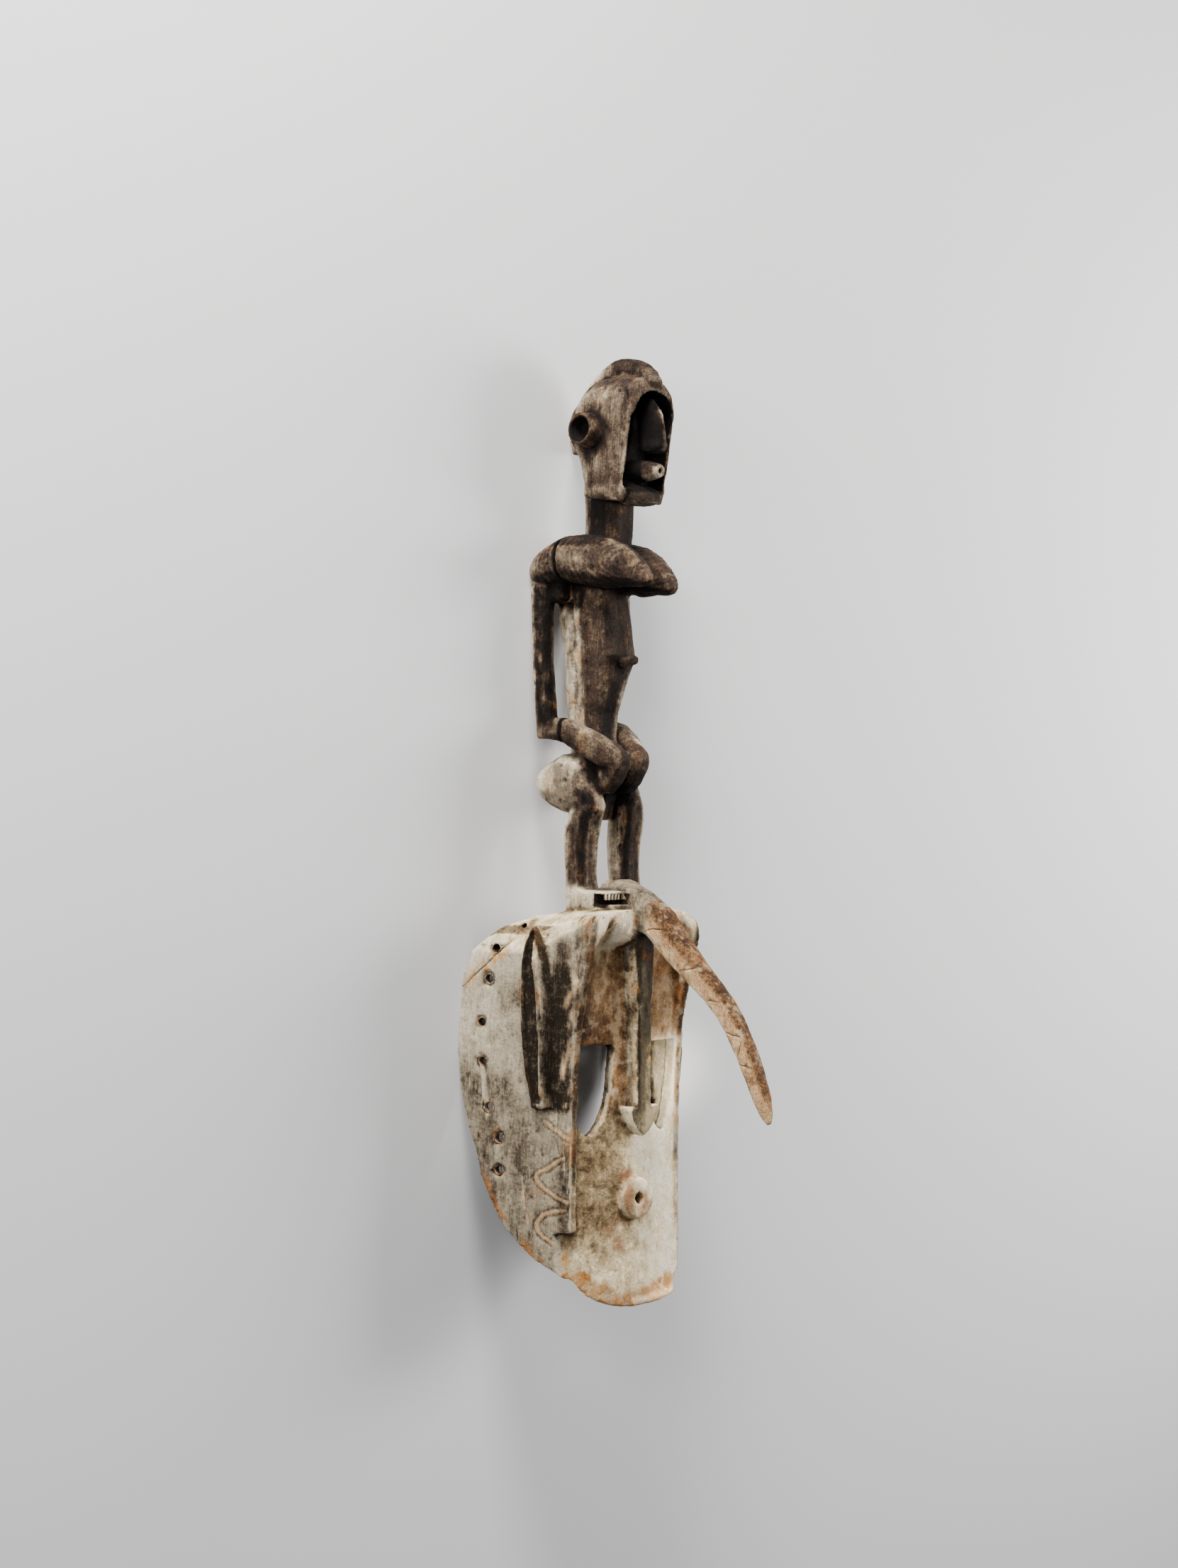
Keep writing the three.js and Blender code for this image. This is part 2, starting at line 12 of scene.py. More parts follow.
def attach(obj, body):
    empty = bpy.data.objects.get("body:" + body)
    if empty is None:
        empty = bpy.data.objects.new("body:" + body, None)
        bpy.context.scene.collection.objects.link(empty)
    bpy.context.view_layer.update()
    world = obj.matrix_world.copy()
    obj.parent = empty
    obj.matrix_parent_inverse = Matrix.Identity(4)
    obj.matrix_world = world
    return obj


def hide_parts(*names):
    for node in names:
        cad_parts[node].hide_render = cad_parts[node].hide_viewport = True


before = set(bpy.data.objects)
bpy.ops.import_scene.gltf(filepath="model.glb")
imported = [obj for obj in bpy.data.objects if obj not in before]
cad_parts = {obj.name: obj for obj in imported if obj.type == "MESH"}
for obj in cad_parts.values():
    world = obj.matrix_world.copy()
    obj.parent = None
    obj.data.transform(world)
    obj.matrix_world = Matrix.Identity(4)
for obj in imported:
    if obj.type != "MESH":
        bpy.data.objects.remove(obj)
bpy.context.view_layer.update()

# Most of this script works in the worn pose, in millimetres: x to the mask's right, y forward, z up.
# The part lies on its back, so TILT and the shifts lead from one pose to the other.
TILT = math.atan2(33.0, 402.0)
SHIFT_Y = -442.253
SHIFT_Z = 98.977
COS, SIN = math.cos(TILT), math.sin(TILT)

# In metres: the remesh's voxels, how high a point still counts as resting, and the lowest place for a point
VOXEL = 0.00125
ARM_VOXEL = VOXEL * 0.9
RESTING = 0.0012
LOWEST = (-math.inf, -math.inf, 0.0)

# Speckle noise lifts a tone, so the painted shade of the deepest hollows, in the figure's face, starts below 0
LOWEST_TONE = -0.3

BODY_TRIANGLES = 180000
ARM_TRIANGLES = 16000

# Multipliers of the lattice noise and the bits that it keeps
HASH = (73856093, 19349663, 83492791)
MIXERS = (1274126177, 668265263)
LOW_BITS = 0x7FFFFFFF


def to_worn(points):
    """World metres to worn millimetres."""
    p = points * 1000.0
    u, v = p[:, 1] - SHIFT_Y, p[:, 2] - SHIFT_Z
    return np.stack([-p[:, 0], SIN * u + COS * v, COS * u - SIN * v], axis=1)


def to_world(points):
    """Worn millimetres to world metres."""
    p = np.asarray(points, dtype=float).reshape(-1, 3)
    y = SIN * p[:, 1] + COS * p[:, 2] + SHIFT_Y
    z = COS * p[:, 1] - SIN * p[:, 2] + SHIFT_Z
    return np.stack([-p[:, 0], y, z], axis=1) / 1000.0


def turn(vectors):
    """World directions to worn directions."""
    x, y, z = vectors.T
    return np.stack([-x, SIN * y + COS * z, COS * y - SIN * z], axis=1)


def step(a, b, v):
    """A soft step from 0 at a to 1 at b."""
    t = np.clip((v - a) / (b - a), 0.0, 1.0)
    return t * t * (3.0 - 2.0 * t)


def within(v, low, high):
    return (v > low) & (v < high)


def noise(p, scale, seed):
    """Smooth lattice noise from -1 to 1; scale is the lattice size along x, y and z in millimetres."""
    q = p / np.asarray(scale, dtype=float) + 1000.0 + 17.31 * seed
    cell = np.floor(q).astype(np.int64)
    f = q - cell
    f = f * f * (3.0 - 2.0 * f)
    total = np.zeros(len(p))
    for dx in (0, 1):
        for dy in (0, 1):
            for dz in (0, 1):
                n = (cell[:, 0] + dx) * HASH[0] ^ (cell[:, 1] + dy) * HASH[1] ^ (cell[:, 2] + dz) * HASH[2]
                n = (n ^ (n >> 13)) * MIXERS[0] & LOW_BITS
                n = (n ^ (n >> 15)) * MIXERS[1] & LOW_BITS
                w = (f[:, 0] if dx else 1 - f[:, 0]) * (f[:, 1] if dy else 1 - f[:, 1])
                w = w * (f[:, 2] if dz else 1 - f[:, 2])
                total += w * (n / (LOW_BITS >> 1) - 1.0)
    return total


def fractal(p, scale, seed, levels=3):
    """Noise on finer and finer lattices, each half as strong as the last."""
    scale = np.asarray(scale, dtype=float)
    total, gain = np.zeros(len(p)), 1.0
    for i in range(levels):
        total += gain * noise(p, scale / 2.0**i, seed + 5 * i)
        gain *= 0.5
    return total / (2.0 - 2.0 ** (1 - levels))


def to_line(a, b, points):
    """Distance in a plane from (a, b) to a run of points."""
    best = np.full(len(a), 1e9)
    for (a0, b0), (a1, b1) in zip(points[:-1], points[1:]):
        da, db = a1 - a0, b1 - b0
        t = np.clip(((a - a0) * da + (b - b0) * db) / (da * da + db * db), 0, 1)
        best = np.minimum(best, np.hypot(a - a0 - t * da, b - b0 - t * db))
    return best


# Places and outlines of the solids, which the relief and the colours follow

# The side walls flare toward the back from FLARE_FROM on
HALF_WIDTH = 75.0
FLARE = 0.28
FLARE_FROM = 35.0
WALL_OUT = (0.963, 0.27, 0.0)

# The face is flat above SAG_TOP and falls back below it, further on its right than on its left
FACE_PLANE = 41.0
FACE_HALF = 64.0
SAG_TOP = 300.0
SAG_DEPTH = 130.0
SAG_RIGHT, SAG_LEFT = 16.0, 7.0

# Heights of the mouth's middle, the ears' middle, the feet's top and the figure's jaw
MOUTH = 105.0
EAR_MIDDLE = 274.0
FEET_TOP = 392.0
JAW = 744.0

# How far forward the refitted arm's edges lie, and the half width of the open wedges there
BREAK_Y = -5.2
BREAK_HALF = 1.5

# Outlines seen from the side, as y and z
BEAK = [
    (10, 384), (31, 382), (53, 372), (77, 358), (100, 334), (121, 315), (141, 298), (156, 283), (169, 265),
    (180, 245), (190, 224), (197, 207), (203, 191), (206, 182),
]
TIES = [(-20, 356), (-41, 335), (-47.5, 307), (-55, 267.5), (-54, 231), (-49, 189), (-38, 162), (-38, 132)]
SPLIT = [(-75, 297.5), (-58, 313), (-41, 328.5), (-22.5, 345), (-10, 355)]
HEM = [(-80, 250), (-61, 140), (-44, 97), (-4, 54), (26, 32)]
HIP = [(-40, 575), (-34, 590), (-22, 620), (-20, 632)]
SHOULDER_SEAM = [(-8, 712), (-12, 690), (-6, 664)]
HAIR = [
    (66, 865), (56, 872.5), (46, 877), (36, 878), (26, 876.5), (15, 871), (4, 864), (-6, 856), (-15, 844),
    (-22, 829),
]
CROWN = [(74, 853), *HAIR]
PLAITS = [(70, 859), *HAIR, (-28, 815), (-29.5, 806)]
ZIGZAGS = [
    [(8, 179), (34, 162)],
    [(27, 146), (12, 137), (-1, 130), (1, 122.5), (14, 113), (31, 106)],
    [(28, 99), (8, 95), (-1, 85.5), (4, 74), (26, 64)],
    [(44, 334), (27, 319), (46, 306), (27, 288), (38, 272), (24, 254), (35, 247), (24, 226), (34, 210), (29, 194)],
]

# Rust-red spots on the chin, as z and x
RUST_SPOTS = ((86, 18), (76, 24), (62, 14), (90, 8), (48, 30))


def rounded(run):
    """Cuts the corners of a run of points twice."""
    for _ in range(2):
        cut = [run[0]]
        for (a, b), (c, d) in zip(run[:-1], run[1:]):
            cut += [(0.75 * a + 0.25 * c, 0.75 * b + 0.25 * d), (0.25 * a + 0.75 * c, 0.25 * b + 0.75 * d)]
        run = cut + [run[-1]]
    return run


ZIGZAGS = [rounded(run) for run in ZIGZAGS]


def wall_x(y):
    """Outer face of the side walls, which flare toward the back."""
    return HALF_WIDTH + np.maximum(FLARE_FROM - y, 0) * FLARE


def face_y(x, z):
    """Front of the face, which falls back toward the chin's corners."""
    low = step(0.0, SAG_DEPTH, SAG_TOP - z)
    return FACE_PLANE - np.where(x > 0, SAG_RIGHT, SAG_LEFT) * low * (x / FACE_HALF) ** 2


# Mesh tools


def own(name, data):
    """A new object in the scene."""
    o = bpy.data.objects.new(name, data)
    bpy.context.scene.collection.objects.link(o)
    return o


def applied(o, kind, **settings):
    """Adds one modifier and bakes it into the mesh."""
    m = o.modifiers.new(kind, kind)
    for key, value in settings.items():
        setattr(m, key, value)
    graph = bpy.context.evaluated_depsgraph_get()
    graph.update()
    mesh = bpy.data.meshes.new_from_object(o.evaluated_get(graph))
    o.modifiers.clear()
    old = o.data
    o.data = mesh
    bpy.data.meshes.remove(old)


def read(mesh, what="co"):
    """Places or normals of a mesh's points, one row each."""
    n = len(mesh.vertices)
    out = np.empty(n * 3, dtype=np.float32)
    if what == "co":
        mesh.vertices.foreach_get("co", out)
    else:
        mesh.vertex_normals.foreach_get("vector", out)
    return out.reshape(-1, 3).astype(float)


def write(mesh, points):
    """Moves a mesh's points."""
    mesh.vertices.foreach_set("co", points.astype(np.float32).ravel())
    mesh.update()


class Smoother:
    """Means over each point's neighbours on a mesh."""

    def __init__(self, mesh):
        e = np.empty(len(mesh.edges) * 2, dtype=np.int64)
        mesh.edges.foreach_get("vertices", e)
        e = e.reshape(-1, 2)
        self.a = np.concatenate([e[:, 0], e[:, 1]])
        self.b = np.concatenate([e[:, 1], e[:, 0]])
        self.n = len(mesh.vertices)
        self.count = np.maximum(np.bincount(self.a, minlength=self.n), 1)

    def mean(self, v):
        if v.ndim == 1:
            return np.bincount(self.a, weights=v[self.b], minlength=self.n) / self.count
        return np.stack([self.mean(v[:, i]) for i in range(v.shape[1])], axis=1)

    def relax(self, p, weight, rounds):
        """Smooths without shrinking: each round pulls in, then pushes back."""
        for _ in range(rounds):
            p = p + weight[:, None] * 0.6 * (self.mean(p) - p)
            p = p - weight[:, None] * 0.62 * (self.mean(p) - p)
        return p

    def blur(self, v, rounds):
        for _ in range(rounds):
            v = 0.5 * v + 0.5 * self.mean(v)
        return v


def prism(sections):
    """Vertices and faces of a closed run through sections that have the same number of corners each."""
    k = len(sections[0])
    verts = [c for s in sections for c in s]
    faces = []
    for i in range(len(sections) - 1):
        for j in range(k):
            a, b = i * k + j, i * k + (j + 1) % k
            faces.append((a, b, b + k, a + k))
    faces.append(tuple(range(k))[::-1])
    faces.append(tuple(range((len(sections) - 1) * k, len(sections) * k)))
    return verts, faces


def cutter(runs):
    """One object that holds all runs, to cut with."""
    verts, faces = [], []
    for v, f in runs:
        base = len(verts)
        verts += [tuple(c) for c in to_world(v)]
        faces += [tuple(base + i for i in face) for face in f]
    mesh = bpy.data.meshes.new("cutter")
    mesh.from_pydata(verts, [], faces)
    o = own("cutter", mesh)
    b = bmesh.new()
    b.from_mesh(mesh)
    bmesh.ops.recalc_face_normals(b, faces=b.faces)
    bmesh.ops.triangulate(b, faces=b.faces)
    b.to_mesh(mesh)
    b.free()
    return o


def carve(o, runs):
    """Cuts closed runs out of a piece."""
    tool = cutter(runs)
    applied(o, "BOOLEAN", operation="DIFFERENCE", solver="MANIFOLD", object=tool)
    bpy.data.objects.remove(tool)


def crack(points, out, half, deep, wander, seed):
    """A wedge-shaped crack along a run of worn points; out is the way out of the surface."""
    out = np.asarray(out, dtype=float)
    out = out / np.linalg.norm(out)
    fine = []
    for p, q in zip(points[:-1], points[1:]):
        p, q = np.asarray(p, float), np.asarray(q, float)
        n = max(2, int(np.linalg.norm(q - p) / 3.0))
        fine += [p + (q - p) * i / n for i in range(n)]
    fine.append(np.asarray(points[-1], float))
    fine = np.array(fine)
    along = np.gradient(fine, axis=0)
    side = np.cross(along, out)
    side /= np.linalg.norm(side, axis=1)[:, None]
    shift = wander * noise(fine + 31.0 * seed, (4, 4, 4), seed)
    t = np.linspace(0, 1, len(fine))
    width = half * (0.25 + 0.75 * np.sin(math.pi * np.clip(t, 0.02, 0.98)) ** 0.6)
    width = width * (1 + 0.35 * noise(fine, (6, 6, 6), seed + 3))
    sections = []
    for i, p in enumerate(fine):
        c = p + side[i] * shift[i]
        lip = side[i] * width[i] * 1.3
        foot = deep * (0.4 + 0.6 * math.sin(math.pi * min(max(t[i], 0.05), 0.95)))
        sections.append([c + lip + out * 2.0, c - lip + out * 2.0, c - out * foot])
    return prism(sections)


def on_wall(points):
    """Worn places on the right wall's outer face."""
    return [(wall_x(y), y, z) for y, z in points]


def body_cracks():
    """The long cracks of the right wall: points, half width, depth, wander and seed."""
    return [
        crack(on_wall(points), WALL_OUT, *rest)
        for points, *rest in (
            (SPLIT, 0.9, 7, 0.8, 1),
            ([(-13, 129), (-11, 105), (-6, 84), (-4, 71)], 0.5, 3, 0.8, 3),
            ([(20, 205), (22, 180), (21, 160), (23, 146)], 0.6, 4, 0.7, 4),
            ([(29, 200), (29.5, 170), (28, 150), (29, 128)], 0.5, 3, 0.5, 5),
            ([(-66, 250), (-67, 225), (-66, 205)], 0.5, 4, 0.5, 6),
        )
    ]


def arm_breaks():
    """Open wedges round the shoulder and the forearm where the refitted arm meets the block: middles, radii and
    first and last angles.
    """
    half = np.array([0, BREAK_HALF, 0])
    runs = []
    for (x, z), (wide, high), span in (
        ((34, 693), (23, 22.5), (-75, 100)),
        ((38, 535.5), (11, 11.5), (-100, 110)),
    ):
        sections = []
        for angle in np.radians(np.linspace(*span, 22)):
            way = np.array([math.cos(angle), 0, math.sin(angle)])
            c = np.array([x + wide * way[0], BREAK_Y, z + high * way[2]])
            c[1] += 0.5 * float(noise(c[None, :], (5, 5, 5), 9)[0])
            sections.append([c + half + way * 2.5, c - half + way * 2.5, c - way * 5.0])
        runs.append(prism(sections))
    return runs


def along_run(points):
    """A function that gives the place at a distance along a run of points, and the run's length."""
    line = np.array(points, float)
    d = np.r_[0, np.cumsum(np.hypot(*np.diff(line, axis=0).T))]
    return lambda s: np.array([np.interp(s, d, line[:, 0]), np.interp(s, d, line[:, 1])]), d[-1]


def crest_grooves():
    """Fine cuts across the hair that runs over the crown."""
    place, length = along_run(PLAITS)
    count, half_long, half, deep, proud = 27, 13, 0.62, 4.0, 3
    runs = []
    for i in range(count):
        s = length * (0.01 + 0.43 * i / count)
        c = place(s)
        t = place(s + 2) - c
        t /= np.linalg.norm(t)
        n = np.array([t[1], -t[0]])
        corners = (
            c + n * proud + t * half * 1.6, c + n * proud - t * half * 1.6,
            c - n * deep - t * half * 0.3, c - n * deep + t * half * 0.3,
        )
        runs.append(prism([[(x, *corner) for corner in corners] for x in (-half_long, half_long)]))
    return runs


def block(x0, x1, y0, y1, z0, z1):
    """A box between worn places."""
    return prism([[(x0, y, z0), (x1, y, z0), (x1, y, z1), (x0, y, z1)] for y in (y0, y1)])


def toe_cuts():
    """Three sets of cuts in both feet: between the toes, the gap under them and the hollow behind them.

    The table gives each foot's side, its front, the tops of the gap and foot of the hollow, and the toes' top.
    """
    slits, gaps, hollows = [], [], []
    for side, front, gap_top, hollow_foot, top in (
        (1, 46, 379.9, 377.0, 385.3),
        (-1, 40, 377.4, 376.2, 379.8),
    ):
        for i in range(7):
            x = side * (16.5 + 4.4 * (i - 0.5))
            slits.append(block(x - 1.15, x + 1.15, front - 12, front + 5, 375.5, top))
        low, high = sorted((side * 13.5, side * 43))
        gaps.append(block(low, high, front - 12, front + 5, 375.2, gap_top))
        hollows.append(block(low, high, front - 12.5, front - 3.6, hollow_foot, top - 0.6))
    return slits, gaps, hollows


def beak_cracks():
    """Short slanting cracks down the beak's right side: place along it, lean, and reach below and above."""
    place, _ = along_run(BEAK)
    runs = []
    for i, (at, lean, low, high) in enumerate((
        (78, 14, -9, 7), (104, -16, -8, 8), (131, 12, -7, 8), (152, -14, -8, 6), (171, 15, -7, 7),
        (190, -12, -6, 7), (207, 12, -6, 6), (224, -10, -6, 5), (238, 9, -5, 5),
    )):
        points = []
        for t in (0.0, 0.5, 1.0):
            run = at + lean * (t - 0.5)
            y, z = place(run)
            ahead = place(run + 2) - (y, z)
            ahead /= np.linalg.norm(ahead)
            off = low + (high - low) * t
            half = np.interp(run, [70, 150, 240], [13.5, 10.5, 7.5])
            points.append((half, y - ahead[1] * off, z + ahead[0] * off))
        runs.append(crack(points, (1, 0, 0), 0.6, 2.6, 1.2, 40 + i))
    return runs


# Surface relief on the solids' own form


def beak_side(y, z):
    """How far places lie above the beak's middle line, which falls forward."""
    best, signed = np.full(len(y), 1e9), np.zeros(len(y))
    for (a0, b0), (a1, b1) in zip(BEAK[:-1], BEAK[1:]):
        da, db = a1 - a0, b1 - b0
        t = np.clip(((y - a0) * da + (z - b0) * db) / (da * da + db * db), 0, 1)
        u, v = y - a0 - t * da, z - b0 - t * db
        gap = np.hypot(u, v)
        signed = np.where(gap < best, (v * da - u * db) / math.hypot(da, db), signed)
        best = np.minimum(best, gap)
    return signed


def tie_gap(y, z):
    """Distance of places on a wall from the middle of the nearest tie hole."""
    gap = np.full(len(y), 99.0)
    for hole_y, hole_z in TIES:
        gap = np.minimum(gap, np.hypot(y - hole_y, z - hole_z))
    return gap


def zig_gap(w):
    """Distance of worn places from the nearest zigzag line."""
    y = w[:, 1] + 1.2 * noise(w, (6, 6, 6), 51)
    z = w[:, 2] + 1.0 * noise(w, (6, 6, 6), 52)
    gap = np.full(len(w), 99.0)
    for run in ZIGZAGS:
        run_y, run_z = zip(*run)
        near = within(y, min(run_y) - 8, max(run_y) + 8) & within(z, min(run_z) - 8, max(run_z) + 8)
        near &= np.abs(w[:, 0]) > 60
        gap[near] = np.minimum(gap[near], to_line(y[near], z[near], run))
    return gap


def front_of(w, n, mask):
    """The painted front of the face part."""
    x, y, z = w.T
    return mask & (y > face_y(x, z) - 9) & (np.abs(x) < 72) & (z < 340) & (n[:, 1] > 0.2)


def regions(w, n):
    """Which points belong to which large form, from worn places and worn normals."""
    x, y, z = w.T
    r = {}
    beak_gap = to_line(y, z, BEAK)
    r["beak"] = (beak_gap < 21) & (np.abs(x) < 17.5) & (y > 26) & (beak_gap + np.abs(x) * 0.2 < 22)
    r["beak"] &= (z > 366) | (y > 64)
    r["figure"] = (z > 372.5) & ~r["beak"]
    r["mask"] = ~r["beak"] & ~r["figure"]
    r["side"] = r["mask"] & (np.abs(x) > wall_x(y) - 3) & (np.abs(n[:, 0]) > 0.6)
    r["toes"] = within(z, 373, 387) & (y > np.where(x > 0, 32, 26)) & (y < 48) & (np.abs(x) > 11)
    r["inside"] = r["mask"] & (y < face_y(x, z) - 8) & (np.abs(x) < wall_x(y) - 8) & (z < 356)
    return r


def softness(w, r, s):
    """How much each point is smoothed: round carving a lot, flat walls and crisp edges little."""
    x, y, z = w.T
    soft = np.where(r["figure"], 0.75, np.where(r["beak"], 0.7, 0.15))
    soft = np.where(r["figure"] & within(z, 750, 850) & (y > 40), 0.3, soft)
    soft = np.where(r["toes"], 0.0, soft)
    soft = np.where((z > 850) & (np.abs(x) < 12), 0.35, soft)
    ear = r["mask"] & (np.abs(x) > wall_x(y) + 1.0) & (np.abs(z - EAR_MIDDLE) < 90)
    soft = np.where(ear, 0.08, soft)
    soft = np.where(r["mask"] & (x > 52) & (y > 14) & (z < 94), 0.9, soft)
    return s.blur(soft, 3)


def relief(w, n, r, s):
    """How far wear, tools and weather cut below the smoothed form, in millimetres."""
    x, y, z = w.T

    # convex edges lose a little wood, unevenly
    bulge = np.einsum("ij,ij->i", w - s.mean(w), n)
    edge = s.blur(np.clip(bulge * 6.0, 0, 1), 2)
    chips = np.clip(fractal(w, (9, 9, 14), 3) + 0.25, 0, 1) + 1.3 * step(0.25, 0.6, fractal(w, (5, 5, 8), 5))
    cut = 1.5 * edge * (0.3 + chips) * np.where(r["mask"], 1.0, np.where(r["beak"], 0.7, 0.6))

    # adze facets, slow waves, grain that stands out and pits
    facet = np.abs(noise(w, (15, 15, 19), 14)) + 0.5 * np.abs(noise(w, (8, 8, 12), 15))
    wave = 0.8 * fractal(w, (28, 28, 40), 11) + 0.9 * (0.5 - facet)
    grain = 0.22 * noise(w, (2.6, 2.6, 16), 21) + 0.24 * noise(w, (4.4, 4.4, 34), 22)
    pits = 1.2 * step(0.4, 0.75, fractal(w, (5, 5, 9), 31)) + 0.8 * step(0.4, 0.64, fractal(w, (3, 3, 5), 33))
    strength = np.where(r["side"], 0.9, np.where(r["figure"], 0.75, np.where(r["beak"], 0.55, 0.6)))
    cut = cut + 0.1 + 0.62 * wave * strength - grain * strength + pits * strength

    # deep open grain on both walls' lower and rear edges and on the back of the trunk
    back = step(-15, -45, y) * r["side"] + step(120, 60, z) * step(20, -20, y) * r["side"]
    flank = r["figure"] & within(z, 560, 665) & (y < 6) & (np.abs(x) < 28)
    rift = np.clip(fractal(w, (4, 4, 30), 41) + 0.05, 0, 1)
    cut = cut + (np.clip(back, 0, 1) * 1.5 + flank * 1.8) * rift

    # wear around the tie holes
    cut = cut + r["side"] * 1.8 * step(8, 4, tie_gap(y, z) + 3.0 * noise(w, (4, 4, 4), 43))

    # the lower zigzag lines are shallow cuts on both walls
    line = zig_gap(w)
    groove = np.exp(-((line - 2.6) ** 2)) - 0.2 * (line < 2)
    cut = cut + 0.9 * groove * r["side"] * step(200, 180, z)

    # curved tool marks on the shoulders and the breasts
    chest = r["figure"] & within(z, 655, 716) & (y > -30)
    ring = np.hypot(y - 60, (z - 690) * 1.3) + 2.0 * noise(w, (14, 14, 14), 61)
    cut = cut + chest * 0.42 * (0.5 + 0.5 * np.sin(ring * 2 * math.pi / 5.5))

    # hair stands a little proud of the band under it
    crown = to_line(y, z, CROWN)
    crest = (np.abs(x) < 10.5) & (z > 790) & r["figure"]
    cut = cut + crest * 1.7 * step(11, 13, crown) * step(27, 21, crown) * (np.abs(n[:, 0]) > 0.5)

    # paint crust on the lower face lies unevenly
    crust = front_of(w, n, r["mask"]) * step(190, 150, z)
    cut = cut + crust * 0.35 * step(-0.2, 0.3, fractal(w, (15, 15, 19), 65))

    rough = 0.35 + 0.5 * (0.5 - facet) + 0.9 * step(0.3, 0.6, fractal(w, (7, 7, 22), 71))
    return np.where(r["inside"], rough, cut)


def sculpt(o):
    """Smooths and wears a piece, but for the flat spots that it rests on, inside the box of its solid."""
    mesh = o.data
    p = read(mesh)
    low, high = np.maximum(p.min(axis=0), LOWEST), p.max(axis=0)
    s = Smoother(mesh)
    w = to_worn(p)
    n = turn(read(mesh, "no"))
    r = regions(w, n)
    resting = p[:, 2] < RESTING
    w = s.relax(w, np.where(resting, 0.0, softness(w, r, s)), 20)
    cut = np.where(resting, 0.0, relief(w, n, r, s))
    cut = np.where(r["toes"], np.clip(cut, 0, 0.25), cut)
    w = w - n * np.clip(cut, -0.7, 5.0)[:, None]
    q = np.where(resting[:, None], p, to_world(w))
    write(mesh, np.clip(q, low, high))


def fine_copy(node, name, voxel, triangles, runs):
    """A fine, worn copy of a node's mesh, thinned to a number of triangles and cut by each set of runs."""
    o = own(name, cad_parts[node].data.copy())
    o.data.materials.clear()
    applied(o, "REMESH", mode="VOXEL", voxel_size=voxel)
    sculpt(o)
    count = sum(len(f.vertices) - 2 for f in o.data.polygons)
    applied(o, "DECIMATE", decimate_type="COLLAPSE", ratio=min(1.0, triangles / count))
    for run in runs:
        carve(o, run)
    write(o.data, np.maximum(read(o.data), LOWEST))
    o.data.materials.clear()
    o.data.polygons.foreach_set("material_index", [0] * len(o.data.polygons))
    o.data.polygons.foreach_set("use_smooth", [True] * len(o.data.polygons))
    return o


# Shares and lightness for the colours, one number for each point of the mesh. A tone goes from 0, for soot or
# painted shade, to 1, for dust or painted light; the places that the forms are told apart by are worn millimetres.


def survey(mesh):
    """What the colours depend on: places, normals, noise, curvature and the large forms."""
    s = Smoother(mesh)
    w = to_worn(read(mesh))
    n = turn(read(mesh, "no"))
    k = SimpleNamespace(smoother=s, w=w, n=n, **regions(w, n))
    k.x, k.y, k.z = w.T
    k.nx, k.ny, k.nz = s.blur(n, 6).T
    k.near = k.x > 0

    k.big = fractal(w, (34, 34, 44), 101)
    k.mid = fractal(w, (12, 12, 18), 102, 4)
    k.small = fractal(w, (4.5, 4.5, 7), 103)
    k.along = fractal(w, (5, 5, 60), 104)

    bulge = s.blur(np.einsum("ij,ij->i", w - s.blur(w, 4), n), 1)
    k.edge = np.clip(bulge * 3.0, 0, 1)
    k.cavity = np.clip(-bulge * 3.0, 0, 1)
    wide = np.einsum("ij,ij->i", w - s.blur(w, 24), n)
    k.deep = np.clip(-wide * 1.2, 0, 1)
    k.proud = np.clip(wide * 0.8, 0, 1)
    return k


def face_forms(k):
    """Adds the forms of the face part: its front, nose, mouth, eye holes, roof, gable, tie holes and zigzags."""
    x, y, z, n, mid, small = k.x, k.y, k.z, k.n, k.mid, k.small
    k.front = front_of(k.w, n, k.mask)
    k.strip = k.mask & (np.abs(x) > 66) & (y > 33) & (z > 120) & ((n[:, 1] > 0.5) | (y > 40))
    k.nose = k.mask & (np.abs(x) < 13) & (y > 46) & within(z, 186, 356)
    k.arrow = k.mask & (np.abs(x) < 21) & (y > 45) & within(z, 158, 194)
    k.boss = k.mask & (np.hypot(x, z - MOUTH) < 26) & (y > 40)
    k.low_rim = 15 + 0.16 * np.abs(x - 10) + 0.4 * np.clip(x - 14, 0, 60) + 5 * mid
    k.sight = k.mask & within(z, 160, 250) & within(y, 2, 46)
    k.reveal = k.sight & (n[:, 0] > 0.3) & (x < -50)

    roof = k.mask & (z > 318) & (y < 62)
    k.lime = step(0.1, 0.5, k.nz) * step(-72, -40, y) * np.clip(0.95 + 0.9 * mid, 0, 1) * roof
    k.gable = k.mask & (z > 334) & within(y, 36, 64) & (np.abs(np.abs(x) - 38) < 30) & (n[:, 2] < 0.2)
    fold_gap = np.minimum(to_line(x, z, [(79, 359), (69, 319)]), to_line(x, z, [(48, 363), (67, 328)]))
    k.fold = k.mask & (y > 48) & (n[:, 1] > 0.1) & (fold_gap + 3 * small < 3.6)
    k.root = k.gable & (np.abs(x) < 21 + 4 * mid)
    k.ridge = (np.abs(x) < 20) & within(y, 24, 72) & (z > 352) & (k.nz > -0.4)

    k.hole_gap = tie_gap(y, z)
    k.tie = k.mask & (k.hole_gap < 5.6) & (np.abs(n[:, 0]) < 0.6) & (y < 0)

    line = zig_gap(k.w)
    zig = np.exp(-((np.maximum(line - 1.0, 0) / 1.3) ** 2)) * k.side * np.clip(1.0 + 0.9 * small + 0.4 * mid, 0, 1)
    k.zig = zig * np.where(z > 196, step(-0.25, 0.1, mid + 0.4 * small), 1.0)


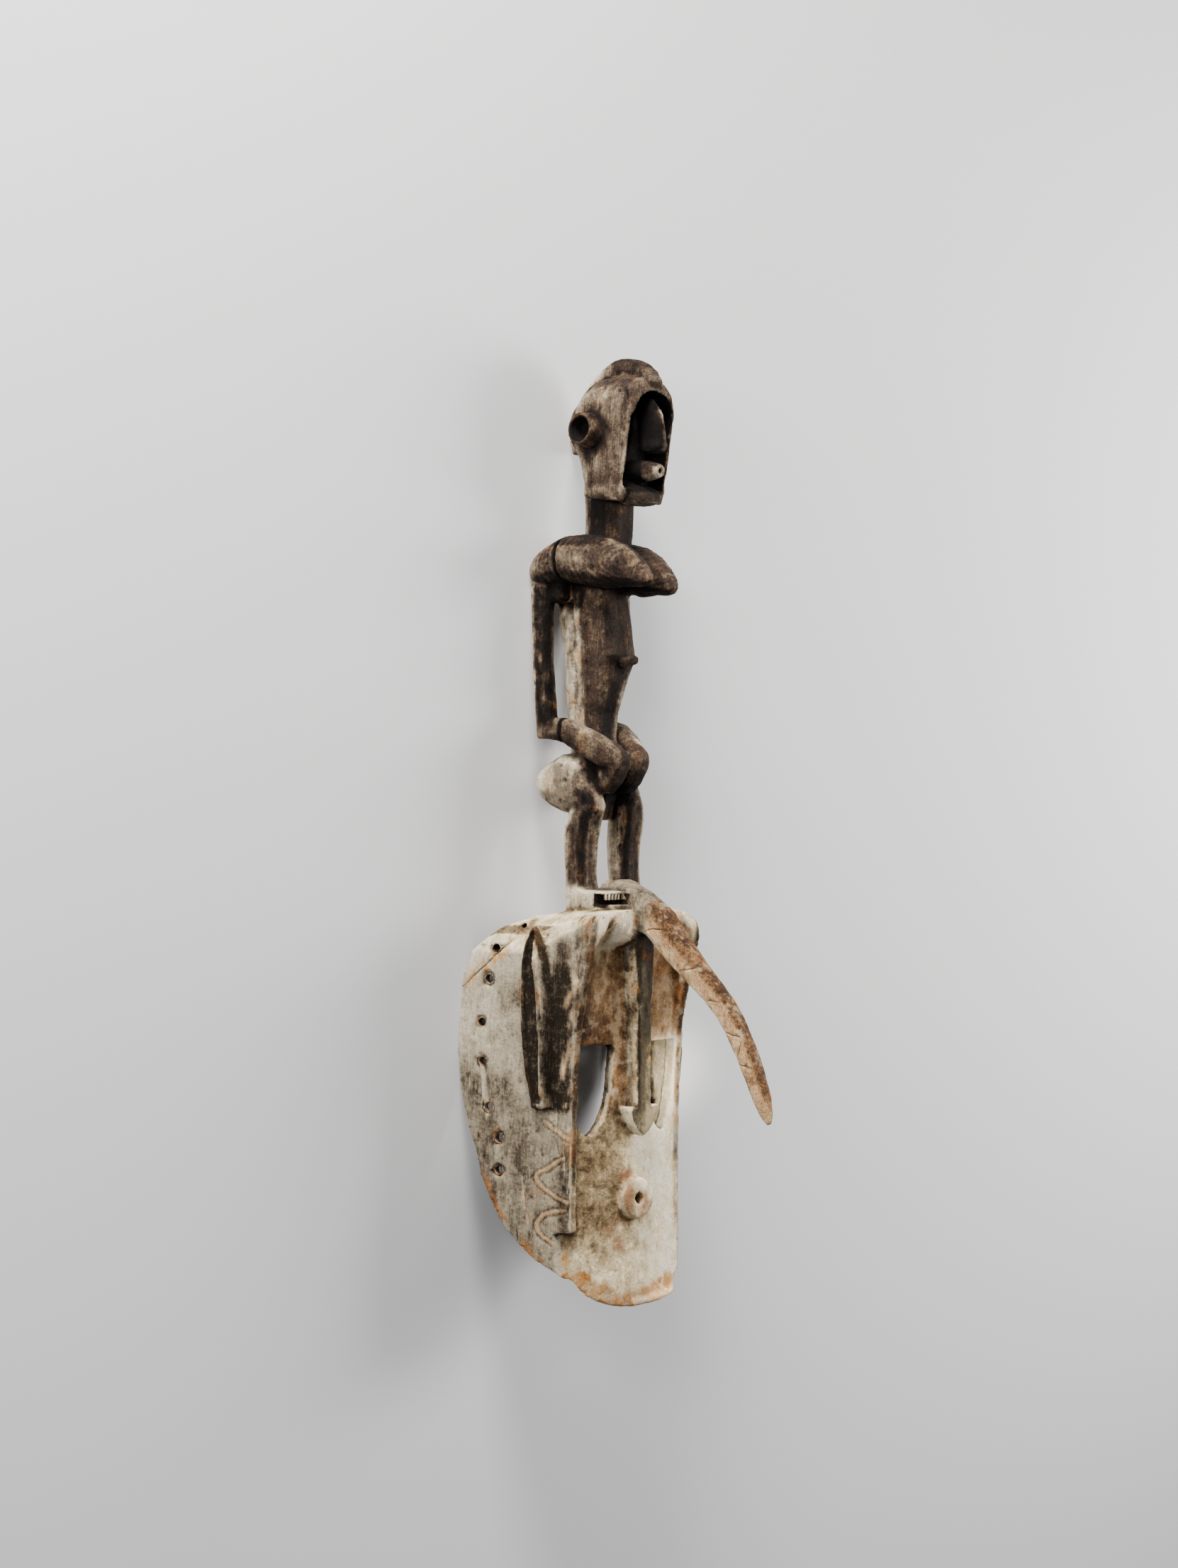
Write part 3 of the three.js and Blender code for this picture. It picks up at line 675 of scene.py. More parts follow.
def figure_forms(k):
    """Adds the forms of the figure."""
    x, y, z = k.x, k.y, k.z
    k.seat = k.figure & within(z, 450, 520) & (y < 8)
    k.trunk = k.figure & within(z, 520, 664) & (np.abs(x) < 29)
    k.bust = k.figure & within(z, 655, 722) & (y > -46)
    k.skull = k.figure & (z >= JAW + 6)
    k.groin = k.figure & (np.abs(x) < 24) & within(z, 466, 485) & within(y, 12, 38)
    k.comb = (np.abs(x) < 10.5) & (z > 790) & k.figure
    k.hair = k.comb & (to_line(y, z, CROWN) < 12.2) & (y > 18 + 5 * k.mid)
    k.recess = k.figure & (z > JAW + 10) & (z < 846) & (y > 38) & (np.abs(x) < 28.5)
    k.recess &= (np.abs(x) < 26) | (k.ny < 0.3)
    k.toe_gaps = k.toes & (y < np.where(k.near, 44.0, 38.0)) & (z < np.where(k.near, 385.6, 380.0))


def pale_share(k):
    """Kaolin on the face, roof, gable and eye holes' edges; on the far hole's reveal it is also painted light."""
    x, z, n, mid, small, front = k.x, k.z, k.n, k.mid, k.small, k.front
    rim = step(0.0, 9.0, 76 - np.abs(x) + 3 * small - 12 * k.near * step(60, 25, z))
    rim = rim * step(k.low_rim - 6, k.low_rim + 6, z)
    pale = front * step(200, 165, z + 9 * k.big + 6 * mid) * rim
    far_cheek = front * step(252, 247, z + 2 * mid) * step(-20, -32, x + 3 * mid)
    near_cheek = front * step(235, 200, z + 10 * mid) * step(22, 34, x) * 0.7
    near_reveal = k.sight & within(x, 26, 62) & (k.y > 26) & (np.abs(n[:, 1]) < 0.6)
    for share in (
        np.maximum(far_cheek, near_cheek) * (1 - k.nose), k.reveal * 0.95, near_reveal * 0.55, k.lime * 0.85,
        0.95 * k.gable * (n[:, 1] > -0.2),
    ):
        pale = np.maximum(pale, share)
    pale = np.where(k.arrow | k.nose, np.where(k.ny > 0.55, 0.0, 0.45), pale)
    pale = np.where(k.boss, 0.9, pale)
    pale = np.where(k.strip & (z < 354), 0.3 * step(0.1, 0.4, small + 0.4 * mid), pale)
    return np.where(k.fold | k.root | k.ridge, 0.0, pale)


def bare_share(k):
    """Bare orange wood where edges are rubbed or broken."""
    x, y, z, n, mid, small, along = k.x, k.y, k.z, k.n, k.mid, k.small, k.along
    mask, side, figure, front, near = k.mask, k.side, k.figure, k.front, k.near
    bare = step(0.25, 0.8, k.edge) * step(0.1, 0.35, mid + 0.3 * small) * np.where(figure, 0.25, 0.8)
    bare = bare * np.where(side & (y < -44) & within(z, 120, 330), 0.2, 1.0)

    split = step(9.0, 3.0, to_line(y, z, SPLIT) + 5 * mid) * side * near
    brow = mask & (z > 300) & (y > 56) & (n[:, 1] > 0.4)
    chin = mask & front & (z < k.low_rim + 2)
    under = mask & (z < 30) & (n[:, 2] < -0.3)
    near_rim = front * near * step(14, 6, 76 - np.abs(x) + 4 * mid) * step(75, 50, z)
    hem = side * near * step(10, 4, to_line(y, z, HEM) + 5 * mid)
    far_face = front * (~near) * step(255, 275, z) * step(-22, -40, x) * step(-0.1, 0.25, mid)
    for share in (
        split * step(-0.3, 0.0, small) * step(0, -25, y),
        k.strip * step(0.15, 0.35, mid + 0.4 * along) * 0.9,
        brow * step(0.05, 0.3, mid + 0.3 * small) * 0.8,
        (chin | under) * np.clip(0.95 + 0.7 * mid, 0, 1),
        near_rim * 0.9,
        hem * step(-0.2, 0.1, mid + 0.5 * along) * step(180, 120, z),
        far_face * 0.8,
        np.where(k.fold, 0.5 + 0.5 * mid, 0.0),
        k.tie * (z < 290) * 0.9,
    ):
        bare = np.maximum(bare, share)

    hip = figure & near & (to_line(y, z, HIP) < 8) & (np.abs(x) < 30)
    sat = figure & near & (np.hypot(y + 42, z - 486) < 22)
    elbow = figure & near & within(z, 520, 560) & (y < -20)
    neck = figure & near & within(z, 700, 742) & (y < 2)
    joint = figure & near & (np.abs(x) > 29) & (to_line(y, z, SHOULDER_SEAM) < 5)
    spine = k.trunk & (y < 2)
    fleck = (figure | side) & (small + 0.5 * mid > 0.66)
    for share in (
        hip * step(0.05, 0.3, mid + 0.3 * along) * 0.9,
        sat * step(0.1, 0.4, mid + 0.3 * small) * 0.6,
        elbow * step(0.2, 0.45, mid + 0.3 * small) * 0.7,
        neck * step(0.15, 0.35, mid + 0.4 * along) * 0.8,
        joint * step(0.1, 0.4, mid) * 0.7,
        spine * step(0.1, 0.4, mid + 0.5 * along) * 0.5,
        fleck * 0.35,
    ):
        bare = np.maximum(bare, share)

    bare = np.where(k.recess | k.toe_gaps | k.hair | k.boss, 0.0, bare)
    calm = k.bust | (k.trunk & (y > -2)) | (figure & ~near & within(z, 465, 565))
    bare = np.where(calm, 0.4 * bare, bare)
    return np.where(k.groin, 0.0, np.where(k.gable & (k.edge > 0.35), np.maximum(bare, 0.3), bare))


def red_share(k):
    """Rust-red spots on the chin and round the mouth."""
    red = np.zeros(len(k.w))
    for spot_z, spot_x in RUST_SPOTS:
        spot = np.exp(-(((k.x - spot_x) / 8) ** 2 + ((k.z - spot_z) / 6) ** 2))
        red = np.maximum(red, k.front * spot * np.clip(0.5 + k.mid + 0.5 * k.small, 0, 1))
    return np.maximum(red, k.boss * step(0.15, 0.35, k.mid + 0.3 * k.small) * 0.8)


def ground_tone(k):
    """Lightness before the forms: soot in hollows, dust on what stands out."""
    calm = np.where(k.side | k.front, 0.45, 1.0)
    tone = 0.52 + 0.13 * k.mid + 0.15 * k.big + 0.08 * k.small
    return tone + calm * (0.2 * k.edge - 0.3 * k.cavity - 0.3 * k.deep + 0.12 * k.proud)


def wall_tone(k, tone):
    """The side walls with their ears, tie holes and worn rear edges."""
    x, y, z, mid, small, side, strip = k.x, k.y, k.z, k.mid, k.small, k.side, k.strip
    ear = k.mask & (np.abs(z - EAR_MIDDLE) < 86)
    proud = np.abs(x) - wall_x(y)
    # Painted shade in the ears' grooves and at the foot of their front flanks
    tone = tone - 0.5 * (ear & within(proud, 0.5, 11) & within(y, -7, 17))
    tone = tone - 0.22 * (ear & (proud > 1.5))
    # Painted shadow that each ear casts on the wall in front of it
    tone = tone - 0.5 * (ear & (np.abs(x) > 66)) * step(16, 20, y) * step(38, 32, y) * step(355, 335, z)
    tone = tone - 0.04 * strip * (y > 36) - 0.3 * strip * (z > 255) - 0.2 * strip * step(160, 140, z)
    tone = np.where((k.zig > 0.3) & (z > 190), np.maximum(tone, 0.62), tone)
    tone = tone - 0.16 * side * step(-0.1, 0.4, k.big + 0.15 * k.along) * step(330, 300, z)
    tone = tone - 0.05 * side * step(200, 120, z) - 0.14 * side * step(0.0, 0.5, k.big + 0.5 * mid) - 0.03 * side
    far_corner = k.mask & (x < -46) & (z > 334)
    tone = tone - 0.3 * far_corner * step(-44, -56, x)
    # Painted light on the upper rear of the walls
    tone = tone + 0.12 * side * step(-20, -50, y) * step(200, 260, z)
    # Painted shade darkens the tie holes' rims and the bores of the upper holes
    tone = tone - 0.4 * side * step(8, 4.5, k.hole_gap + 2 * small) - 0.5 * k.tie * (z > 290)
    # Painted light toward the top of the walls; they are darker low down
    tone = tone + side * (0.05 * step(190, 230, z) + 0.06 * step(290, 320, z) - 0.06 * step(190, 150, z))
    tone = tone - 0.14 * side * step(-34, -56, y) * step(260, 210, z)
    # Painted shade along the near wall's front part, low down
    return tone - 0.22 * side * k.near * step(18, 27, y + 3 * mid) * step(172, 152, z)


def face_tone(k, tone):
    """The front with its brown channels and cheeks, the nose, the roof and the gable."""
    x, z, mid, small, front, near = k.x, k.z, k.mid, k.small, k.front, k.near
    far_rim = front * (~near) * step(-66, -70, x + 1.5 * mid) * step(60, 90, z)
    tone = tone - 0.45 * far_rim
    # Painted shadow of the near wall's front edge over the near part of the face; the next line is painted light
    # on its far part
    tone = tone - 0.45 * front * step(-8, 44, x + 6 * mid) * step(40, 100, z) * step(330, 250, z)
    tone = tone + 0.22 * front * step(-14, -44, x + 6 * mid) * step(254, 248, z)
    tone = tone - 0.24 * front * (~near) * step(248, 256, z) - 0.04 * channel_share(k) * near
    tone = tone - 0.3 * k.nose * (k.nx > 0.3) * step(196, 210, z)
    centre = np.exp(-(((x + 8 + 5 * mid) / 20) ** 2))
    tone = tone + 0.22 * front * centre * step(104, 118, z) * step(195, 175, z)
    tone = tone - 0.04 * front * step(-26, -40, x) * step(180, 150, z)
    stroke = fractal(k.w, (9, 9, 30), 107)
    # The far half is 0.1 lighter as painted light
    tone = tone + front * (0.1 * (~near) + 0.14 - 0.16 * step(-0.05, 0.4, mid) - 0.12 * step(0.1, 0.5, stroke))

    blade = k.nose & (k.ny > 0.3)
    blotch = 0.1 * step(262, 274, z) * (1 + 3 * mid + 3 * small)
    tone = tone + blade * (blotch - 0.12 - 0.6 * step(318, 330, z))
    tone = tone - blade * 0.3 * step(4, 9, x) * step(280, 262, z)
    # The gable is kaolin, lifted further by painted light where the beak shades it
    tone = np.where(k.gable, tone + 0.6, tone)
    tone = np.where(k.lime > 0.3, tone + 0.1 - 0.3 * step(0.1, 0.45, mid + 0.3 * small), tone)
    return np.where(k.root, 0.22 + 0.25 * mid, np.where(k.fold, 0.32 + 0.3 * small, tone - 0.1 * k.boss))


def limb_tone(k, tone):
    """The figure below its head: uneven dust, soot in hollows, painted shade and light by which way its faces
    turn.
    """
    x, y, z, nx, ny, nz = k.x, k.y, k.z, k.nx, k.ny, k.nz
    mid, small, figure, near, trunk, bust = k.mid, k.small, k.figure, k.near, k.trunk, k.bust
    toward = 0.73 * nx + 0.68 * ny
    rim_light_way = 0.68 * nx - 0.73 * ny
    side_x = np.where(near, nx, -nx)
    dust = 0.1 * mid + 0.07 * k.big + 0.1 * small + 0.16 * k.edge - 0.22 * k.cavity - 0.2 * k.deep
    tone = np.where(figure, 0.37 + 1.2 * dust, tone)
    # Painted rim light on faces turned toward the near side and back
    tone = tone + figure * 0.22 * step(0.62, 0.95, rim_light_way)

    leg = figure & within(z, FEET_TOP, 478) & (y > -14)
    # Painted shade on the legs' faces turned toward the camera, painted light on faces turned away from it and
    # straight forward
    painted_shade = 0.34 * step(0.8, 0.92, toward)
    tone = tone - leg * (painted_shade - 0.2 * step(0.7, 0.3, toward) - 0.12 * step(0.8, 0.97, ny))
    # The far leg is painted lighter, with painted shade on its front near the middle and painted light on faces
    # turned to the near side
    tone = tone + leg * (~near) * 0.12
    tone = tone - leg * (~near) * (0.3 * step(-36, -30, x) * step(0.5, 0.8, ny) - 0.1 * step(0.6, 0.9, nx))

    tone = np.where(trunk, 0.5 * tone + 0.5 * 0.36, tone)
    # Painted light on the trunk's back and on the far part of its front, painted shade down the middle of its
    # front
    flank = (ny > 0.4) * step(-4, -9, np.where(near, x, -np.abs(x)))
    tone = tone + trunk * ((0.4 + 0.3 * small) * step(1, -3, y + 4 * mid) + 0.3 * flank)
    tone = tone - trunk * 0.2 * (ny > 0.5) * step(11, 6, x) * step(-7, -3, x)

    upper_arm = figure & within(z, 540, 668) & (np.abs(x) > 30) & (y < -14)
    # Painted shade on the upper arms' outward and forward faces, painted light on their inward and back faces
    painted_shade = 0.36 * step(0.25, 0.6, side_x + 0.5 * ny)
    painted_back_light = 0.2 * step(0.2, -0.3, side_x + 0.6 * ny)
    blotch = 0.2 * step(0.15, 0.5, small + 0.6 * mid)
    tone = tone - upper_arm * (painted_shade - painted_back_light)
    # Painted rim light and painted highlights on edges turned toward the near side and back; the blotches are
    # uneven colour
    tone = tone + upper_arm * (0.25 * step(0.6, 0.9, rim_light_way) + 0.55 * k.edge * (rim_light_way > 0.2) + blotch)
    armpit = figure & within(z, 648, 676) & (y < 2) & (np.abs(x) < 46)
    # Painted shade under the shoulders, except on faces turned back
    tone = tone - armpit * 0.4 * step(-0.75, -0.3, ny)

    throat = figure & within(z, 705, JAW + 6) & (y < 36)
    # Painted shadow of the jaw on the throat, with painted light on faces turned back
    tone = tone - throat * (0.3 * step(-0.3, 0.1, ny) * step(0.95, 0.6, ny) - 0.1 * step(-0.4, -0.7, ny))
    # Painted shade under the breasts and shoulders and on the breasts' front, with their tops a little lighter
    tone = tone + bust * (0.05 - 0.26 * step(-0.2, -0.7, nz) + 0.02 * step(0.3, 0.8, nz))
    tone = tone - bust * (y > 30) * 0.14 * step(0.9, 0.4, nz)

    lap = figure & within(z, 478, 560) & (y > -14)
    # Painted shade on the lap's undersides, painted light on its tops
    tone = tone - lap * (0.22 * step(0.1, -0.5, nz) * (ny > -0.3) - 0.14 * step(0.2, 0.7, nz))
    # Dust and painted light on the seat's faces turned up and back, and on its rear
    tone = tone + k.seat * (0.15 * step(-0.5, 0.2, nz - 0.4 * ny) + 0.12 * step(-20, -40, y))
    # Painted light on a band of the near thigh, placed by where the camera sees it
    across = 0.731 * y - 0.682 * x
    thigh = figure & near & within(z, 490, 522)
    lit = step(-22, -14, across) * step(0, -7, across) * step(498, 504, z) * step(522, 514, z)
    tone = tone + thigh * 0.24 * lit
    # Painted shade between the thighs
    tone = tone - 0.4 * k.groin * step(22, 16, np.abs(x))
    return np.where(figure & (z < FEET_TOP), tone + 0.32, tone)


def head_tone(k, tone):
    """The head with its crest, ear horns and open face, over the sooty middle of the front and the mended arm."""
    x, y, z, ny, nz, mid, small, skull = k.x, k.y, k.z, k.ny, k.nz, k.mid, k.small, k.skull
    # Painted shade on the crown's upward faces and painted light on the head's front faces
    crown_painted_light_and_shade = 0.12 - 0.26 * step(0.3, 0.7, nz) + 0.08 * (y > 50) * (ny > 0.3)
    tone = tone + skull * (crown_painted_light_and_shade - 0.1 * step(-0.1, 0.5, mid))
    tone = tone - skull * 0.06 * step(JAW + 14, JAW + 11, z)
    bore_gap = np.hypot(y - 18, z - 811)
    horn = k.figure & (bore_gap < 18.5) & (np.abs(x) > 32)
    tone = tone - horn * (0.2 - 0.16 * step(0.3, 0.8, nz))

    tone = np.where(k.ridge, 0.34 + 0.2 * mid + 0.12 * small - 0.2 * k.cavity, tone)
    seam = 0.5 * step(2.6, 1.2, np.abs(y - BREAK_Y))
    tone = np.where(k.figure & (x > 26) & (z > 520), tone - seam, tone)

    tone = np.where(k.hair, tone - 0.02, tone)
    tone = np.where(k.comb & ~k.hair & (z > 815), tone + 0.26, tone)
    # Painted shade nearly blackens the face's open recess, with painted light on the lips and on the nose's bridge
    lips = k.recess & (y > 60) & (np.hypot(x, z - 772) < 14)
    bridge = k.recess & (y > 74) & (z > 783) & (ny > 0.5)
    tone = np.where(k.recess, tone - 0.7 + 0.68 * lips + 0.4 * bridge * (k.nx < 0.3), tone)
    brim = skull & (y > 58) & (ny > 0.35) & ((np.abs(x) > 22) | (z > 838)) & (z < 868)
    tone = np.where(brim, 0.5 + 0.14 * mid + 0.14 * small - 0.2 * k.cavity, tone)
    bore = k.figure & (bore_gap < 12) & (np.abs(x) < 47)
    # Painted shade in the ear bores through the head
    return np.where(bore, tone - 0.5, tone)


def beak_tone(k, tone):
    """The beak: dark above, rubbed pale below."""
    rise = beak_side(k.y, k.z)
    top = step(3.5, 8.5, rise + 2.5 * k.mid)
    rubbed = step(-2.0, -7.0, rise + 3 * k.mid) * step(-0.2, 0.25, k.mid + 0.3 * k.small)
    horn_tone = 0.54 + 0.18 * k.mid + 0.1 * k.big + 0.12 * k.small - 0.34 * top + 0.32 * rubbed
    return np.where(beak_share(k) > 0.5, horn_tone - 0.2 * k.cavity + 0.1 * k.edge, tone)


def channel_share(k):
    return k.front * step(165, 205, k.z + 8 * k.mid) * (1 - k.nose)


def beak_share(k):
    return k.beak * step(66, 78, k.y + 6 * k.mid)


def paint(o):
    """Writes the shares and the lightness that the wood material reads."""
    k = survey(o.data)
    face_forms(k)
    figure_forms(k)

    tone = ground_tone(k)
    for layer in (wall_tone, face_tone, limb_tone, head_tone):
        tone = layer(k, tone)
    # Painted shade in the gaps under and behind the toes
    tone = np.where(k.toe_gaps, 0.0, tone)
    # Only the face's recess keeps its painted shade below 0
    tone = np.where(k.recess, tone, np.maximum(tone, 0.0))
    tone = beak_tone(k, tone)
    # Painted shade on the inside of the face part
    tone = np.where(k.inside, np.minimum(tone, 0.16 + 0.16 * k.mid), tone)
    # Kaolin on the far eye hole's reveal, kept light as painted light
    tone = np.where(k.reveal, np.maximum(tone, 0.75), tone)

    figure = k.figure * (1 - 0.25 * k.seat - 0.45 * (k.z < FEET_TOP))
    data = {
        "pale": pale_share(k),
        "channel": channel_share(k),
        "zigzag": k.zig,
        "bare": bare_share(k),
        "red": red_share(k),
        "tone": k.smoother.blur(tone, 1),
        "beak": beak_share(k),
        "figure": k.smoother.blur(figure, 2),
        "nose": ((k.nose | k.arrow) & (k.ny > 0.5)).astype(float),
    }
    for name, v in data.items():
        a = o.data.attributes.new(name, "FLOAT", "POINT")
        a.data.foreach_set("value", np.clip(v, LOWEST_TONE, 1).astype(np.float32))


# Materials


def rgb(code):
    """Display colour code to linear light."""
    v = [int(code[i:i + 2], 16) / 255 for i in (0, 2, 4)]
    return [c / 12.92 if c <= 0.04045 else ((c + 0.055) / 1.055) ** 2.4 for c in v] + [1.0]


# Each ramp's colours, from soot or painted shade to dust or painted light, as display colour codes
RAMPS = {
    "wall": ((0.0, "1a150e"), (0.2, "50463a"), (0.42, "867c69"), (0.66, "aca28e"), (1.0, "d8d0be")),
    "figure": (
        (0.0, "060303"), (0.22, "18110d"), (0.42, "3a2d25"), (0.62, "665949"), (0.82, "9d9280"), (1.0, "ccc1ab"),
    ),
    "channel": ((0.0, "2a1c0f"), (0.3, "674d35"), (0.55, "977a57"), (0.8, "bca182"), (1.0, "d9c6a6")),
    "nose": ((0.0, "0e0b06"), (0.35, "2a241a"), (0.65, "4c4434"), (1.0, "93866a")),
    "cream": (
        (0.0, "483927"), (0.22, "7d6b50"), (0.42, "ac9a79"), (0.62, "d8c7a0"), (0.82, "f5e6c4"), (1.0, "fcf4e0"),
    ),
    "zigzag": ((0.0, "5b4632"), (0.4, "a68a68"), (1.0, "d8c09c")),
    "beak": (
        (0.0, "1a0f08"), (0.22, "4d3420"), (0.42, "8a6a4a"), (0.62, "b5946e"), (0.82, "d8bf9b"), (1.0, "ecdcc0"),
    ),
    "orange": ((0.0, "301b0a"), (0.35, "75481f"), (0.6, "a26d35"), (1.0, "cc9f62")),
}
CHANNEL_VEIN = "b09c83"
CREAM_FLAKE = "8b7048"
CREAM_SPECK = "6b5233"
BEAK_VEIN = "d6c4a4"
BEAK_LINE = "2c1c12"
RUST = "875034"
SPECULAR = 0.12


class Nodes:
    """Short ways to add nodes to a material."""

    def __init__(self, name):
        self.material = bpy.data.materials.new(name)
        self.material.use_nodes = True
        self.tree = self.material.node_tree
        self.shader = self.tree.nodes["Principled BSDF"]
        coords = self.tree.nodes.new("ShaderNodeTexCoord")
        self.place = coords.outputs["Object"]

    def link(self, a, b):
        self.tree.links.new(a, b)

    def mask(self, name):
        node = self.tree.nodes.new("ShaderNodeAttribute")
        node.attribute_name = name
        return node.outputs["Fac"]

    def scaled(self, scale):
        node = self.tree.nodes.new("ShaderNodeMapping")
        node.inputs["Scale"].default_value = scale
        self.link(self.place, node.inputs["Vector"])
        return node.outputs["Vector"]

    def noise(self, scale, stretch, detail, rough):
        node = self.tree.nodes.new("ShaderNodeTexNoise")
        node.inputs["Scale"].default_value = scale
        node.inputs["Detail"].default_value = detail
        node.inputs["Roughness"].default_value = rough
        self.link(self.scaled(stretch), node.inputs["Vector"])
        return node.outputs["Fac"]

    def ranged(self, value, low, high, to_low, to_high):
        node = self.tree.nodes.new("ShaderNodeMapRange")
        node.interpolation_type = "SMOOTHSTEP"
        for key, v in (("From Min", low), ("From Max", high), ("To Min", to_low), ("To Max", to_high)):
            node.inputs[key].default_value = v
        self.link(value, node.inputs["Value"])
        return node.outputs["Result"]

    def math(self, op, *values):
        node = self.tree.nodes.new("ShaderNodeMath")
        node.operation = op
        for socket, v in zip(node.inputs, values):
            if isinstance(v, (int, float)):
                socket.default_value = v
            else:
                self.link(v, socket)
        return node.outputs[0]

    def mix(self, fac, a, b):
        node = self.tree.nodes.new("ShaderNodeMix")
        node.data_type = "RGBA"
        for socket, v in ((node.inputs[0], fac), (node.inputs[6], a), (node.inputs[7], b)):
            if isinstance(v, (int, float, list)):
                socket.default_value = v
            else:
                self.link(v, socket)
        return node.outputs[2]

    def ramp(self, value, name):
        stops = RAMPS[name]
        node = self.tree.nodes.new("ShaderNodeValToRGB")
        spots = node.color_ramp.elements
        while len(spots) < len(stops):
            spots.new(0.5)
        for spot, (place, code) in zip(spots, stops):
            spot.position = place
            spot.color = rgb(code)
        self.link(value, node.inputs["Fac"])
        return node.outputs["Color"]

    def bump(self, height, strength, distance, normal):
        node = self.tree.nodes.new("ShaderNodeBump")
        node.inputs["Strength"].default_value = strength
        node.inputs["Distance"].default_value = distance
        self.link(height, node.inputs["Height"])
        if normal is not None:
            self.link(normal, node.inputs["Normal"])
        return node.outputs["Normal"]


def wood(name):
    """Old wood under soot, dust, kaolin and painted light and shade, led by the shares and lightness that paint()
    writes.
    """
    m = Nodes(name)
    grain_way = (1.0, 0.09, 1.0)
    fine = m.noise(900, grain_way, 4, 0.7)
    coarse = m.noise(300, grain_way, 5, 0.65)
    speck = m.noise(420, (1, 1, 1), 5, 0.75)
    crust = m.noise(120, (1, 1, 1), 8, 0.72)
    veins = m.noise(75, (1, 1, 1), 6, 0.62)

    def varied(tone, *gains):
        """The lightness, made uneven by noises of given strengths."""
        for grain, gain in gains:
            tone = m.math("ADD", tone, m.math("MULTIPLY", m.math("SUBTRACT", grain, 0.5), gain))
        return tone

    tone = varied(m.mask("tone"), (crust, 0.7), (speck, 0.6), (coarse, 0.3), (fine, 0.4))
    daubed = varied(m.mask("tone"), (crust, 1.2), (speck, 0.7), (veins, 0.6))

    color = m.mix(m.mask("figure"), m.ramp(tone, "wall"), m.ramp(tone, "figure"))
    channel = m.mix(m.ranged(veins, 0.5, 0.62, 0.0, 0.4), m.ramp(daubed, "channel"), rgb(CHANNEL_VEIN))
    color = m.mix(m.mask("channel"), color, channel)
    color = m.mix(m.mask("nose"), color, m.ramp(tone, "nose"))

    # kaolin with brown flakes' edges and specks
    flake = m.math("ABSOLUTE", m.math("SUBTRACT", crust, 0.5))
    cream = m.mix(m.ranged(flake, 0.0, 0.022, 0.5, 0.0), m.ramp(daubed, "cream"), rgb(CREAM_FLAKE))
    cream = m.mix(m.ranged(speck, 0.62, 0.72, 0.0, 0.6), cream, rgb(CREAM_SPECK))
    color = m.mix(m.math("MULTIPLY", m.mask("pale"), m.ranged(speck, 0.26, 0.42, 0.7, 1.0)), color, cream)
    color = m.mix(m.math("MULTIPLY", m.mask("zigzag"), 0.92), color, m.ramp(tone, "zigzag"))

    # the beak's pale clouds and its thin dark lines
    beak = m.mix(m.ranged(veins, 0.54, 0.68, 0.0, 0.35), m.ramp(tone, "beak"), rgb(BEAK_VEIN))
    line = m.math("ABSOLUTE", m.math("SUBTRACT", veins, 0.49))
    beak = m.mix(m.ranged(line, 0.0, 0.012, 0.75, 0.0), beak, rgb(BEAK_LINE))
    color = m.mix(m.mask("beak"), color, beak)

    rust = m.math("MULTIPLY", m.mask("red"), m.ranged(speck, 0.35, 0.5, 0.3, 0.85))
    color = m.mix(rust, color, rgb(RUST))
    worn = m.math("MULTIPLY", m.mask("bare"), m.ranged(crust, 0.38, 0.54, 0.1, 1.0))
    color = m.mix(worn, color, m.ramp(tone, "orange"))
    m.link(color, m.shader.inputs["Base Color"])
    m.link(m.ranged(crust, 0.3, 0.7, 0.62, 0.95), m.shader.inputs["Roughness"])
    m.shader.inputs["Specular IOR Level"].default_value = SPECULAR
    normal = None
    for height, strength, distance in ((fine, 0.5, 0.0009), (coarse, 0.6, 0.0016), (crust, 0.8, 0.0022)):
        normal = m.bump(height, strength, distance, normal)
    m.link(normal, m.shader.inputs["Normal"])
    return m.material


# The pieces

body = fine_copy(
    "mask_with_figure", "carved_block", VOXEL, BODY_TRIANGLES,
    [body_cracks() + crest_grooves() + beak_cracks() + arm_breaks(), *toe_cuts()],
)
paint(body)
body.data.materials.append(wood("weathered_wood"))
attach(body, "root")
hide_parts("mask_with_figure")

arm = fine_copy("refitted_right_arm", "mended_arm", ARM_VOXEL, ARM_TRIANGLES, [arm_breaks()])
paint(arm)
arm.data.materials.append(wood("weathered_arm_wood"))
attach(arm, "root")
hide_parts("refitted_right_arm")

# Floor, light and camera

# Half the floor's side in metres
FLOOR_HALF = 30
FLOOR_COLOR = (0.71, 0.73, 0.775, 1)
WORLD_COLOR = (0.95, 0.94, 0.93, 1)
WORLD_STRENGTH = 0.2
LIGHT_UP = Vector((0, 0.2, 1))

# name, way from the target, distance, width and height in metres, watts, colour
LIGHTS = (
    ("key", (0.42, 0.32, 0.85), 2.1, (0.6, 0.6), 108, (1.0, 0.955, 0.88)),
    ("side", (-0.82, 0.55, 0.12), 2.0, (0.7, 1.2), 56, (1.0, 0.955, 0.89)),
    ("left", (0.90, 0.33, 0.22), 2.0, (0.5, 1.2), 34, (1.0, 0.97, 0.92)),
)

# The camera's distance and what the picture spans in height at the target, in millimetres
CAMERA_DISTANCE = 2800.0
SPAN = 1460.0
SENSOR = 36.0
VIEW = math.radians(47.0)

